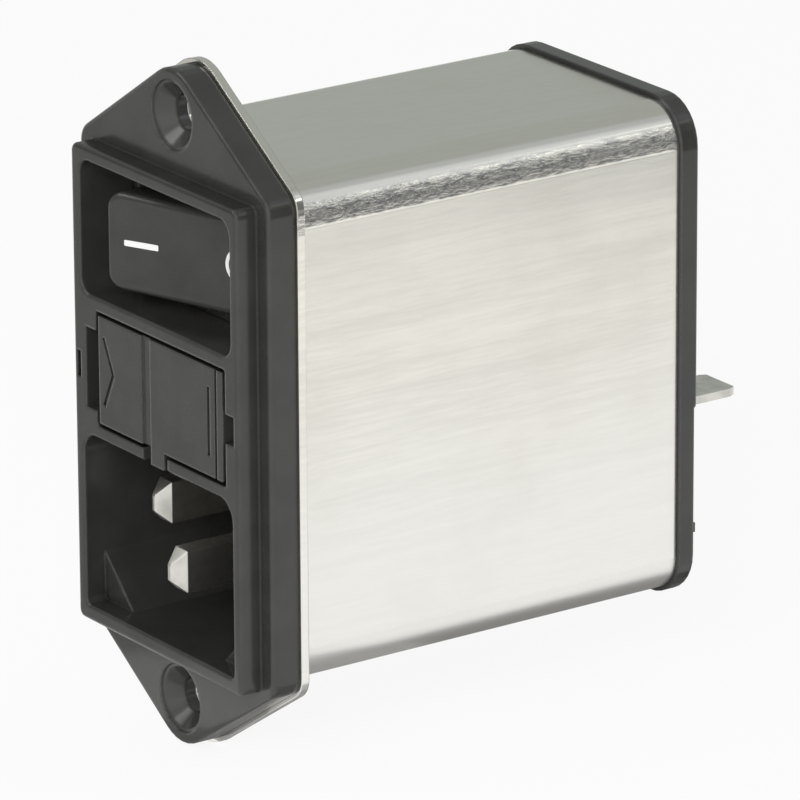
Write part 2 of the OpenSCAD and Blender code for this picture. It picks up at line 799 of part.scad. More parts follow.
// Coil spring between the rocker's bore and the plunger's shoulder
module plunger_spring(s) {
    steps = 14;
    y0 = plunger_bore_top + spring_wire_r + 0.05;
    y1 = plunger_shoulder - spring_wire_r - 0.05;
    count = spring_turns * steps;
    turn = [for (i = [0 : count]) 360 * i / steps];
    outward = [for (i = [0 : count]) [cos(turn[i]), 0, sin(turn[i])]];
    points = [for (i = [0 : count]) [0, y0 + (y1 - y0) * i / count, 0] + spring_r * outward[i]];
    color("#a8a8a4")
    on_rocker() translate([0, 0, s * pole_pitch / 2]) tube(points, outward, spring_wire_r);
}

module plunger_spring_line() { plunger_spring(1); }
module plunger_spring_neutral() { plunger_spring(-1); }

// See-saw lever with a contact rivet at its right end
module contact_lever(s) {
    color("#c48a4e")
    translate([0, lever_y, rocker_z + s * pole_pitch / 2]) rotate([0, 0, -lever_swing])
    difference() {
        union() {
            box([-lever_left, -lever_t, -lever_w / 2], [lever_right, 0, lever_w / 2]);
            rod(rivet_r, -lever_t - rivet_head, rivet_h, lever_rivet_x);
        }
        translate([0, 0, -lever_w]) cylinder(r = nose_r + pin_gap, h = 2 * lever_w);
    }
}

module contact_lever_line() { contact_lever(1); }
module contact_lever_neutral() { contact_lever(-1); }

// Upright terminal with a round nose under the lever
module switch_pivot(s) {
    color("#c9a860")
    translate([0, 0, rocker_z + s * pole_pitch / 2]) {
        translate([0, lever_y, -lever_w / 2]) cylinder(r = nose_r, h = lever_w);
        box([-nose_r, lever_y, -lever_w / 2], [nose_r, terminal_end_y, lever_w / 2]);
    }
}

module switch_pivot_line() { switch_pivot(1); }
module switch_pivot_neutral() { switch_pivot(-1); }

// Fixed contact: a strip on the housing's floor with a rivet and a tail
module switch_contact(s) {
    color("#c9a860")
    translate([0, 0, rocker_z + s * pole_pitch / 2]) {
        rod(rivet_r, contact_y, contact_y + rivet_h + strip_t / 2, contact_x);
        box(
            [contact_x - rivet_r - 0.3, contact_y + rivet_h, -lever_w / 2],
            [contact_strip_end, switch_floor_y, lever_w / 2]
        );
        box(
            [contact_strip_end - strip_t, contact_y + rivet_h, -lever_w / 2],
            [contact_strip_end, terminal_end_y, lever_w / 2]
        );
    }
}

module switch_contact_line() { switch_contact(1); }
module switch_contact_neutral() { switch_contact(-1); }

// Fuse drawer and fuses

module fuse_drawer() {
    rib = 0.8;
    saddle_l = 2;
    tray_top = fuse_z + tray_rise;
    color("#30302f")
    difference() {
        union() {
            box(
                [drawer_left, front_y, drawer_bottom],
                [drawer_right + latch_slit + latch_t, face_rear_y, drawer_top]
            );
            box(
                [tongue_x - tongue_w / 2, front_y, socket_top],
                [tongue_x + tongue_w / 2, face_rear_y, drawer_bottom + over]
            );
            tray(tray_top, saddle_l, rib);
            latch_arm();
        }
        box(
            [drawer_right, front_y - over, drawer_bottom - over],
            [drawer_right + latch_slit, front_y + drawer_face_t / 2, drawer_top + over]
        );
        drawer_signs();
    }
}

// Open tray with a rib between the fuses and a saddle under each end
module tray(top, saddle_l, rib) {
    left = drawer_x - tray_w / 2;
    right = drawer_x + tray_w / 2;
    saddle_top = fuse_z - 0.6;
    difference() {
        union() {
            box([left, face_rear_y - over, drawer_bottom], [right, tray_rear_y, drawer_bottom + tray_wall]);
            box([left, face_rear_y - over, drawer_bottom], [left + tray_wall, tray_rear_y, top]);
            box([right - tray_wall, face_rear_y - over, drawer_bottom], [right, tray_rear_y, top]);
            box([left, tray_end_y, drawer_bottom], [right, tray_rear_y, fuse_z]);
            box(
                [drawer_x - rib / 2, face_rear_y - over, drawer_bottom],
                [drawer_x + rib / 2, tray_rear_y, top]
            );
            for (y = [fuse_y + fuse_cap_l / 2, fuse_y + fuse_l - fuse_cap_l / 2])
                box([left, y - saddle_l / 2, drawer_bottom], [right, y + saddle_l / 2, saddle_top]);
        }
        for (s = [-1, 1])
            rod(fuse_d / 2 + 0.1, fuse_y - 0.1, tray_end_y, drawer_x + s * fuse_pitch / 2, fuse_z);
    }
}

// Spring arm beside the tray, with a catch near its free end
module latch_arm() {
    x0 = drawer_right + latch_slit;
    catch = 0.3;
    catch_l = [3, 2.4, 0.6];
    box([x0, face_rear_y - over, latch_z0], [x0 + latch_t, face_rear_y + latch_l, latch_z1]);
    translate([0, 0, latch_z0]) linear_extrude(latch_z1 - latch_z0) polygon([
        [x0 + latch_t - over / 2, face_rear_y + latch_l - catch_l[0]],
        [x0 + latch_t, face_rear_y + latch_l - catch_l[0]],
        [x0 + latch_t + catch, face_rear_y + latch_l - catch_l[1]],
        [x0 + latch_t, face_rear_y + latch_l - catch_l[2]],
        [x0 + latch_t - over / 2, face_rear_y + latch_l - catch_l[2]]
    ]);
}

// Shallow engraving on the drawer's face: an arrow, a line and a step
module drawer_signs() {
    depth = 0.2;
    sign_h = 0.63 * drawer_h;
    arrow_x = drawer_left + 0.8;
    arrow = [[arrow_x, bay_z + sign_h / 2], [arrow_x + 1.5, bay_z], [arrow_x, bay_z - sign_h / 2]];
    line_x = drawer_right - 1;
    step_x = tongue_x - tongue_w / 2;
    slab(front_y - over, front_y + depth) {
        polygon(strip_outline(arrow, sign_w));
        translate([line_x - sign_w / 2, bay_z - sign_h / 2]) square([sign_w, sign_h]);
        translate([step_x - tongue_gap[0], drawer_bottom - over])
            square([tongue_gap[0], drawer_h + 2 * over]);
    }
}

module at_fuse(s) {
    translate([drawer_x + s * fuse_pitch / 2, 0, fuse_z]) children();
}

module fuse_tube(s) {
    wall = 0.6;
    tube_r = fuse_d / 2 - 0.3;
    color("#dfe8ea", 0.5)
    at_fuse(s) difference() {
        rod(tube_r, fuse_y + 0.45, fuse_y + fuse_l - 0.45);
        rod(tube_r - wall, fuse_y, fuse_y + fuse_l);
    }
}

module fuse_tube_line() { fuse_tube(1); }
module fuse_tube_neutral() { fuse_tube(-1); }

module fuse_caps(s) {
    end_t = 0.4;
    bore_r = fuse_d / 2 - 0.3 + pin_gap;
    color("#cfcdc4")
    at_fuse(s) difference() {
        union() {
            rod(fuse_d / 2, fuse_y, fuse_y + fuse_cap_l);
            rod(fuse_d / 2, fuse_y + fuse_l - fuse_cap_l, fuse_y + fuse_l);
        }
        rod(bore_r, fuse_y + end_t, fuse_y + fuse_l - end_t);
    }
}

module fuse_caps_line() { fuse_caps(1); }
module fuse_caps_neutral() { fuse_caps(-1); }

module fuse_wire(s) {
    color("#b9b8ae")
    at_fuse(s) rod(0.12, fuse_y + 0.45, fuse_y + fuse_l - 0.45);
}

module fuse_wire_line() { fuse_wire(1); }
module fuse_wire_neutral() { fuse_wire(-1); }

// Contact spring that hangs from the bay's roof onto a fuse cap
module fuse_clip(s, lane, y) {
    touch = clip_touch_z + 0.7 * clip_t;
    bends = [
        [clip_end_y, clip_roof_z], [y + clip_drop_l, clip_roof_z],
        [y, touch], [y - clip_lift_l, touch + clip_lift]
    ];
    color("#c9a860")
    translate([drawer_x + s * (fuse_pitch / 2 + lane) - clip_w / 2, 0, 0])
        rotate([90, 0, 90]) linear_extrude(clip_w) polygon(strip_outline(bends, clip_t));
}

module front_clip_line() { fuse_clip(1, clip_lane, fuse_y + fuse_cap_l / 2); }
module front_clip_neutral() { fuse_clip(-1, clip_lane, fuse_y + fuse_cap_l / 2); }
module rear_clip_line() { fuse_clip(1, -clip_lane, fuse_y + fuse_l - fuse_cap_l / 2); }
module rear_clip_neutral() { fuse_clip(-1, -clip_lane, fuse_y + fuse_l - fuse_cap_l / 2); }

// Line filter

function lead_places() = concat(
    [for (x = [-choke_lead_x, choke_lead_x]) for (z = choke_lead_z) [x, z]],
    [for (s = [-1, 1]) [s * xcap_lead_x, xcap_z]],
    [for (a = [-1, 1]) for (b = [-1, 1]) [a * ycap_x + b * ycap_lead_x, ycap_z]],
    [for (s = [-1, 1]) [s * resistor_lead_x, resistor_z]]
);

module filter_board() {
    color("#3c6e47")
    difference() {
        slab(board_y, board_rear_y) round_outline(corner_circles(board_w, board_h, body_r - 0.5));
        for (q = tab_places())
            tab_slot(q, board_y - over, board_rear_y + over);
        for (q = lead_places())
            rod(lead_hole_r, board_y - over, board_rear_y + over, q[0], q[1]);
    }
}

// Lead of a part on the board, from y0 to just through the board
module board_pin(x, z, y0) {
    rod(lead_r, y0, board_rear_y + 0.8, x, z);
}

module x_capacitor() {
    color("#d8b13c") {
        slab(part_y - xcap_d, part_y) round_outline(corner_circles(xcap_w, xcap_h, 0.8, xcap_z));
        for (s = [-1, 1])
            board_pin(s * xcap_lead_x, xcap_z, part_y - 1);
    }
}

module y_capacitor(s) {
    color("#3f6fa8") {
        translate([s * ycap_x, part_y - ycap_d / 2, ycap_z - ycap_t / 2]) cylinder(d = ycap_d, h = ycap_t);
        for (b = [-1, 1])
            board_pin(s * ycap_x + b * ycap_lead_x, ycap_z, part_y - ycap_d / 2);
    }
}

module y_capacitor_line() { y_capacitor(1); }
module y_capacitor_neutral() { y_capacitor(-1); }

module choke_core() {
    color("#5d6b5a")
    translate([0, part_y - wire_d - board_gap, choke_z]) rotate([90, 0, 0])
    difference() {
        cylinder(d = core_d, h = core_h);
        translate([0, 0, -over]) cylinder(d = core_hole_d, h = core_h + 2 * over);
    }
}

// Turns of wire round one side of the core
module choke_winding(s) {
    r0 = core_hole_d / 2 - board_gap;
    r1 = core_d / 2 + board_gap;
    y1 = part_y - wire_d;
    y0 = y1 - core_h - 2 * board_gap;
    color("#b5683a") {
        translate([0, 0, choke_z])
            for (i = [0 : turns - 1])
                rotate([0, winding_first + i * winding_step + (s > 0 ? 0 : 180), 0])
                difference() {
                    box([r0 - wire_d, y0 - wire_d, -wire_d / 2], [r1 + wire_d, y1 + wire_d, wire_d / 2]);
                    box([r0, y0, -wire_d], [r1, y1, wire_d]);
                }
        for (z = choke_lead_z)
            board_pin(s * choke_lead_x, z, y1 - over);
    }
}

module choke_winding_line() { choke_winding(1); }
module choke_winding_neutral() { choke_winding(-1); }

// Resistor across the line, lying on its bent leads
module bleed_resistor() {
    y = part_y - resistor_r;
    color("#b08d64") {
        translate([-resistor_l / 2, y, resistor_z]) rotate([0, 90, 0])
            cylinder(r = resistor_r, h = resistor_l);
        translate([-resistor_lead_x, y, resistor_z]) rotate([0, 90, 0])
            cylinder(r = lead_r, h = 2 * resistor_lead_x);
        for (s = [-1, 1])
            board_pin(s * resistor_lead_x, resistor_z, y);
    }
}

// Inner leads

// Insulated lead along a cubic curve
module lead(p, tint) {
    points = curve(p, 14);
    color(tint) tube(points, [for (q = points) [0.93, 0.12, 0.35]], lead_d / 2);
}

// Point just behind a pin's tail
function tail_end(x, z) = [x, body_rear_y + pin_tail_l + lead_end_gap, z];

// Point of a fuse clip's tail where a lead meets it from below or above
function clip_tail(s, lane, side) = [
    drawer_x + s * (fuse_pitch / 2 + lane),
    bay_rear_y + bay_wall + lead_d / 2 + lead_gap,
    clip_roof_z + side * (clip_t / 2 + lead_end_gap)
];

// From a pin's tail up to the front clip of its fuse
module pin_lead(s, tint) {
    a = tail_end(s * pin_pitch / 2, pin_z);
    b = clip_tail(s, clip_lane, -1);
    lead([a, a + [0, 1.2 * (b[1] - a[1]), 0], b - [0, 0, 0.45 * (b[2] - a[2])], b], tint);
}

module pin_lead_line() { pin_lead(1, "#6b4a2f"); }
module pin_lead_neutral() { pin_lead(-1, "#3d5f9e"); }

// From the rear clip of a fuse up to the switch's pivot terminal
module fuse_lead(s, tint) {
    a = clip_tail(s, -clip_lane, 1);
    b = [0, terminal_end_y + lead_end_gap, rocker_z + s * pole_pitch / 2];
    lead([a, a + [0, 0, 0.6 * (b[2] - a[2])], b + [0, 0.6 * (a[1] - b[1]), 0], b], tint);
}

module fuse_lead_line() { fuse_lead(1, "#6b4a2f"); }
module fuse_lead_neutral() { fuse_lead(-1, "#3d5f9e"); }

// From the switch's fixed contact, up in front of the choke and back to the filter board
module filter_lead(s, tint) {
    a = [contact_strip_end - strip_t / 2, terminal_end_y + lead_end_gap, rocker_z + s * pole_pitch / 2];
    b = [filter_lead_x - (s > 0 ? 0 : filter_lead_pitch), board_y - lead_end_gap, filter_lead_z];
    run = b[1] - a[1];
    rise = 1.6 * (choke_front_y - a[1]) - 0.55 * run;
    lead([a, a + [0, rise, 0], b - [0, run - rise, 0], b], tint);
}

module filter_lead_line() { filter_lead(1, "#6b4a2f"); }
module filter_lead_neutral() { filter_lead(-1, "#3d5f9e"); }

// From the earth pin's tail to the earth tab
module earth_lead() {
    a = tail_end(0, earth_z);
    b = [0, board_y - tab_root - lead_end_gap, earth_tab_z];
    run = b[1] - a[1];
    lead([a, a + [0, 0.15 * run, 0], b - [0, 0.8 * run, 0], b], "#8a9a3c");
}

front_bezel();
shield_can();
rear_cover();
line_pin();
neutral_pin();
earth_pin();
switch_body();
rocker();
plunger_line();
plunger_neutral();
plunger_spring_line();
plunger_spring_neutral();
contact_lever_line();
contact_lever_neutral();
switch_pivot_line();
switch_pivot_neutral();
switch_contact_line();
switch_contact_neutral();
fuse_drawer();
fuse_tube_line();
fuse_tube_neutral();
fuse_caps_line();
fuse_caps_neutral();
fuse_wire_line();
fuse_wire_neutral();
front_clip_line();
front_clip_neutral();
rear_clip_line();
rear_clip_neutral();
filter_board();
x_capacitor();
y_capacitor_line();
y_capacitor_neutral();
choke_core();
choke_winding_line();
choke_winding_neutral();
bleed_resistor();
line_tab();
neutral_tab();
earth_tab();
pin_lead_line();
pin_lead_neutral();
fuse_lead_line();
fuse_lead_neutral();
filter_lead_line();
filter_lead_neutral();
earth_lead();
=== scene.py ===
"""Dressed model of a panel-mount mains inlet with a rocker switch, a fuse drawer and a line filter.

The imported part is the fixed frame: X points right as seen from the front, the front faces -Y and Z points
up. Sizes in this file are millimetres, unless a name says otherwise, and turn into metres where a mesh or a
node is made.
"""

import json
import logging
import math
from abc import ABC, abstractmethod
from dataclasses import dataclass, field
from enum import Enum
from typing import Mapping, Sequence, Union

import bpy
import numpy as np
from mathutils import Matrix, Vector


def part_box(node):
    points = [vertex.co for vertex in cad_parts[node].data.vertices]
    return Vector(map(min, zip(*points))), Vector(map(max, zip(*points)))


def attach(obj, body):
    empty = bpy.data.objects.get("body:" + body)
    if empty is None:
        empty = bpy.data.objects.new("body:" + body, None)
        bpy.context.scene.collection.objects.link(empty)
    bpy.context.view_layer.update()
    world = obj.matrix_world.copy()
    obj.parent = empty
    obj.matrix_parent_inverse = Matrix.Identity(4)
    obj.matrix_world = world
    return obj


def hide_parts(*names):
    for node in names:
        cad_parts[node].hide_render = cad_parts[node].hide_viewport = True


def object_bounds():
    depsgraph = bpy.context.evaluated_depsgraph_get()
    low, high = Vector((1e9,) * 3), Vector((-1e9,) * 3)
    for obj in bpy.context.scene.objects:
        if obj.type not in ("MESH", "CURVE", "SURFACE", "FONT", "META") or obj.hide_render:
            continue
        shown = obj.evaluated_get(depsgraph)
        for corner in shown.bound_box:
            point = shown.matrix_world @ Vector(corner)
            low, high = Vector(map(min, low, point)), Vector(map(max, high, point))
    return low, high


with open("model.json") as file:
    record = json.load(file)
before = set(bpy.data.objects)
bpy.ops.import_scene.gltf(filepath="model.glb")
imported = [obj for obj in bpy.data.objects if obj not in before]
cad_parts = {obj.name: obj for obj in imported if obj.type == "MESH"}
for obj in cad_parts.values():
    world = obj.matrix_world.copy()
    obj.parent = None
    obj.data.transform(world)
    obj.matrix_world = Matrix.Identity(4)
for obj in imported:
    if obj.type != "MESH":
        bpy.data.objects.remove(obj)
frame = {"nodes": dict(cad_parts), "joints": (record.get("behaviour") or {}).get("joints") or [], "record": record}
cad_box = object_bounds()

MM = 0.001
NOISE_MIDDLE = 0.5
log = logging.getLogger("inlet")

Span = tuple[float, float]
Triple = tuple[float, float, float]
Colour = Triple
Value = Union["Term", float, Sequence[float]]
Places = tuple[np.ndarray, np.ndarray, np.ndarray]

WHITE: Colour = (1.0, 1.0, 1.0)


class Slot(Enum):
    """The record's material slots."""

    BLACK_PLASTIC = "black_plastic"
    SATIN_PLASTIC = "satin_plastic"
    SWITCH_PLASTIC = "switch_plastic"
    WHITE_PLASTIC = "white_plastic"
    CAN_METAL = "can_metal"
    PLATED_METAL = "plated_metal"
    SPRING_STEEL = "spring_steel"
    CONTACT_BRASS = "contact_brass"
    CONTACT_COPPER = "contact_copper"
    FUSE_GLASS = "fuse_glass"
    BOARD_GREEN = "board_green"
    CAPACITOR_YELLOW = "capacitor_yellow"
    CAPACITOR_BLUE = "capacitor_blue"
    CORE_COATING = "core_coating"
    RESISTOR_TAN = "resistor_tan"
    LEAD_BROWN = "lead_brown"
    LEAD_BLUE = "lead_blue"
    LEAD_GREEN = "lead_green"


class Body(Enum):
    """The bodies that new pieces ride on."""

    HOUSING = "housing"
    ROCKER = "switch_rocker"


# Shader graphs


class Term:
    """A value in a shader graph. Arithmetic on it adds Math nodes."""

    def __init__(self, graph: "Graph", socket: bpy.types.NodeSocket) -> None:
        """Wraps an output socket of a graph's node."""
        self.graph = graph
        self.socket = socket

    def _math(self, operation: str, *values: Value) -> "Term":
        """One Math node on the given values."""
        return self.graph.node("ShaderNodeMath", {"operation": operation}, dict(enumerate(values)))

    def __add__(self, other: Value) -> "Term":
        """Sum of two values."""
        return self._math("ADD", self, other)

    __radd__ = __add__

    def __sub__(self, other: Value) -> "Term":
        """This value less another."""
        return self._math("SUBTRACT", self, other)

    def __rsub__(self, other: Value) -> "Term":
        """Another value less this one."""
        return self._math("SUBTRACT", other, self)

    def __mul__(self, other: Value) -> "Term":
        """Product of two values."""
        return self._math("MULTIPLY", self, other)

    __rmul__ = __mul__

    def __truediv__(self, other: Value) -> "Term":
        """This value divided by another."""
        return self._math("DIVIDE", self, other)

    def __abs__(self) -> "Term":
        """Size of the value without its sign."""
        return self._math("ABSOLUTE", self)

    def at_most(self, other: Value) -> "Term":
        """The smaller of two values."""
        return self._math("MINIMUM", self, other)

    def at_least(self, other: Value) -> "Term":
        """The larger of two values."""
        return self._math("MAXIMUM", self, other)

    def ease(self, start: float, end: float) -> "Term":
        """Smooth step from 0 at start to 1 at end."""
        settings = {"interpolation_type": "SMOOTHSTEP"}
        return self.graph.node("ShaderNodeMapRange", settings, {0: self, 1: start, 2: end})

    def swing(self, amount: float) -> "Term":
        """How far a noise lies from its middle, times an amount."""
        return (self - NOISE_MIDDLE) * amount


class Graph:
    """A shader tree that is written as Python expressions."""

    EDGE_SAMPLES: int = 6
    CREVICE_SAMPLES: int = 8
    CREVICE_SPAN: Span = (0.25, 0.75)
    MIX_FACTOR, MIX_FIRST, MIX_SECOND, MIX_RESULT = 0, 6, 7, 2

    def __init__(self, tree: bpy.types.NodeTree) -> None:
        """Starts an empty tree."""
        self.tree = tree
        tree.nodes.clear()

    def node(
        self,
        kind: str,
        settings: Mapping[str, object] | None = None,
        sockets: Mapping[int | str, Value] | None = None,
        output: int | str = 0,
    ) -> Term:
        """Adds one node.

        Args:
            kind: the node's type.
            settings: its properties, set before its sockets.
            sockets: values or links of its input sockets, by name or place.
            output: the output socket that the result stands for.

        Returns:
            The chosen output as a term, or the first input of a node that has no output.
        """
        made = self.tree.nodes.new(kind)
        for name, value in (settings or {}).items():
            setattr(made, name, value)
        for key, value in (sockets or {}).items():
            self.join(value, made.inputs[key])
        return Term(self, made.outputs[output] if made.outputs else made.inputs[0])

    def join(self, value: Value, target: bpy.types.NodeSocket) -> None:
        """Links a term to a socket, or sets the socket's own value.

        Args:
            value: the term, number, colour or vector.
            target: the input socket.
        """
        if isinstance(value, Term):
            self.tree.links.new(value.socket, target)
        elif target.type == "RGBA":
            target.default_value = (*tuple(value)[:3], 1.0)
        else:
            target.default_value = value

    def place(self, stretch: Sequence[float] = (1, 1, 1)) -> Term:
        """Object coordinates in millimetres.

        Args:
            stretch: factor on each axis; a small one draws the pattern out along that axis.

        Returns:
            The mapped coordinates.
        """
        coords = self.node("ShaderNodeTexCoord", output="Object")
        scale = [s / MM for s in stretch]
        return self.node("ShaderNodeMapping", None, {"Vector": coords, "Scale": scale})

    def axes(self) -> tuple[Term, Term, Term]:
        """X, Y and Z of the object coordinates, in millimetres."""
        outputs = self.node("ShaderNodeSeparateXYZ", None, {0: self.place()}).socket.node.outputs
        return Term(self, outputs[0]), Term(self, outputs[1]), Term(self, outputs[2])

    def noise(self, coords: Term, scale: float, detail: float = 2.0, roughness: float = 0.5) -> Term:
        """Noise from 0 to 1 on the given coordinates."""
        sockets = {"Vector": coords, "Scale": scale, "Detail": detail, "Roughness": roughness}
        return self.node("ShaderNodeTexNoise", None, sockets)

    def blend(self, factor: Value, first: Value, second: Value) -> Term:
        """Mix of two colours, through the Mix node's colour sockets."""
        sockets = {self.MIX_FACTOR: factor, self.MIX_FIRST: first, self.MIX_SECOND: second}
        return self.node("ShaderNodeMix", {"data_type": "RGBA"}, sockets, output=self.MIX_RESULT)

    def soft_edges(self, radius: float) -> Term:
        """Normal that is rounded off near an edge."""
        return self.node("ShaderNodeBevel", {"samples": self.EDGE_SAMPLES}, {"Radius": radius * MM})

    def bump(self, height: Term, depth: float, normal: Term | None = None) -> Term:
        """Normal of a relief.

        Args:
            height: the relief, from 0 to 1.
            depth: what 1 stands for, in millimetres.
            normal: the normal that the relief stands on, where it isn't the mesh's.

        Returns:
            The relief's normal.
        """
        sockets = {"Strength": 1.0, "Distance": depth * MM, "Height": height}
        if normal is not None:
            sockets["Normal"] = normal
        return self.node("ShaderNodeBump", None, sockets)

    def edge_mask(self, rounded: Term, reach: float) -> Term:
        """1 on an edge and 0 on a flat, from how far the rounded normal turns away from the true one.

        Args:
            rounded: the rounded normal.
            reach: one less the cosine of the turn from which the mask is full.

        Returns:
            The mask.
        """
        flat = self.node("ShaderNodeNewGeometry", output="True Normal")
        settings = {"operation": "DOT_PRODUCT"}
        dot = self.node("ShaderNodeVectorMath", settings, {0: rounded, 1: flat}, output="Value")
        return (1 - dot).ease(0.0, reach)

    def crevices(self, reach: float) -> Term:
        """0 in the open and 1 far inside a groove, from how much is blocked within reach: the mask of the painted
        shade.
        """
        settings, sockets = {"samples": self.CREVICE_SAMPLES}, {"Distance": reach * MM}
        clear = self.node("ShaderNodeAmbientOcclusion", settings, sockets, output="AO")
        return (1 - clear).ease(*self.CREVICE_SPAN)

    def surface(
        self, sockets: Mapping[str, Value], painted_shade: Term | None = None, dull: Colour = (0.0, 0.0, 0.0)
    ) -> None:
        """Ends the graph in a Principled surface.

        Args:
            sockets: values or links of the surface's sockets.
            painted_shade: share of painted shade over it, a dull diffuse colour mixed into the surface.
            dull: the colour of the painted shade.
        """
        shader = self.node("ShaderNodeBsdfPrincipled", None, sockets)
        if painted_shade is not None:
            # The dull colour mixed in here is painted shade.
            matte = self.node("ShaderNodeBsdfDiffuse", None, {"Color": dull})
            shader = self.node("ShaderNodeMixShader", None, {0: painted_shade, 1: shader, 2: matte})
        self.node("ShaderNodeOutputMaterial", None, {"Surface": shader})


# Finishes


@dataclass(frozen=True)
class Finish(ABC):
    """A material, made once and shared."""

    name: str
    colour: Colour
    roughness: float

    def material(self) -> bpy.types.Material:
        """Makes the material, or finds the one that was made before.

        Returns:
            The material, with its nodes.
        """
        known = bpy.data.materials.get(self.name)
        if known is not None:
            return known
        made = bpy.data.materials.new(self.name)
        made.use_nodes = True
        made.diffuse_color = (*self.colour, 1.0)
        self.paint(Graph(made.node_tree))
        return made

    @abstractmethod
    def paint(self, graph: Graph) -> None:
        """Fills the material's shader graph."""

    def shade(self, factor: float) -> Colour:
        """The colour made lighter or darker."""
        return tuple(min(1.0, c * factor) for c in self.colour)

    def shades(self, factors: Span) -> tuple[Colour, Colour]:
        """Two shades of the colour."""
        return self.shade(factors[0]), self.shade(factors[1])


@dataclass(frozen=True)
class MouldedPlastic(Finish):
    """Moulded plastic with a fine eroded texture, soft edges, a speckled painted highlight on its edges and
    painted shade in its grooves.
    """

    cloud_span: Span = (0.3, 0.7)
    cloud_shades: Span = (0.88, 1.12)
    cloud_rough: float = 0.08
    grain: float = 0.16
    grain_span: Span = (0.25, 0.75)
    grain_rough: float = 0.12
    grain_depth: float = 0.0012
    edge: float = 0.38
    edge_turn: float = 0.25
    # Painted highlight on the edges: how much paler they are painted, and how much of that shows.
    edge_highlight_lift: float = 3.2
    edge_highlight_share: float = 0.8
    edge_polish: float = 0.06
    # Painted shade in grooves and inner corners: how far it looks for closing surfaces, how much dark it mixes in,
    # and how dark.
    groove: float = 1.1
    painted_shade_share: float = 0.85
    painted_shade_tone: float = 0.2
    refraction: float = 1.55

    def paint(self, graph: Graph) -> None:
        """Cloudy colour, textured bump, edges smoother and painted paler as a highlight, and painted shade in the
        grooves.

        Args:
            graph: the material's shader graph.
        """
        place = graph.place()
        cloud = graph.noise(place, scale=0.22, detail=3.0)
        speck = graph.noise(place, scale=1 / self.grain, detail=2.0, roughness=0.6)
        rounded = graph.soft_edges(self.edge)
        # Painted shade: a dull dark mixed in where surfaces close in, in grooves, gaps and inner corners.
        painted_shade_mask = graph.crevices(self.groove)
        edges = graph.edge_mask(rounded, self.edge_turn) * (1 - painted_shade_mask)
        # Painted highlight: the edges are painted paler in specks, in place of the gloss that rounded edges catch.
        edge_highlight = edges * speck.ease(*self.grain_span) * self.edge_highlight_share
        base = graph.blend(cloud.ease(*self.cloud_span), *self.shades(self.cloud_shades))
        highlighted = graph.blend(edge_highlight, base, self.shade(self.edge_highlight_lift))
        rough = self.roughness + speck.swing(self.grain_rough) + cloud.swing(self.cloud_rough)
        sockets = {
            "Base Color": highlighted,
            "Roughness": rough - self.edge_polish * edges,
            "Normal": graph.bump(speck, self.grain_depth, rounded),
            "IOR": self.refraction,
        }
        # The painted shade goes over the surface here.
        graph.surface(sockets, self.painted_shade_share * painted_shade_mask, self.shade(self.painted_shade_tone))


@dataclass(frozen=True)
class SheetZones:
    """Masks of the sheet's zones, each from 0 to 1."""

    bent: Term
    upper: Term
    crackled: Term
    low: Term
    wall: Term
    rim: Term
    flange: Term


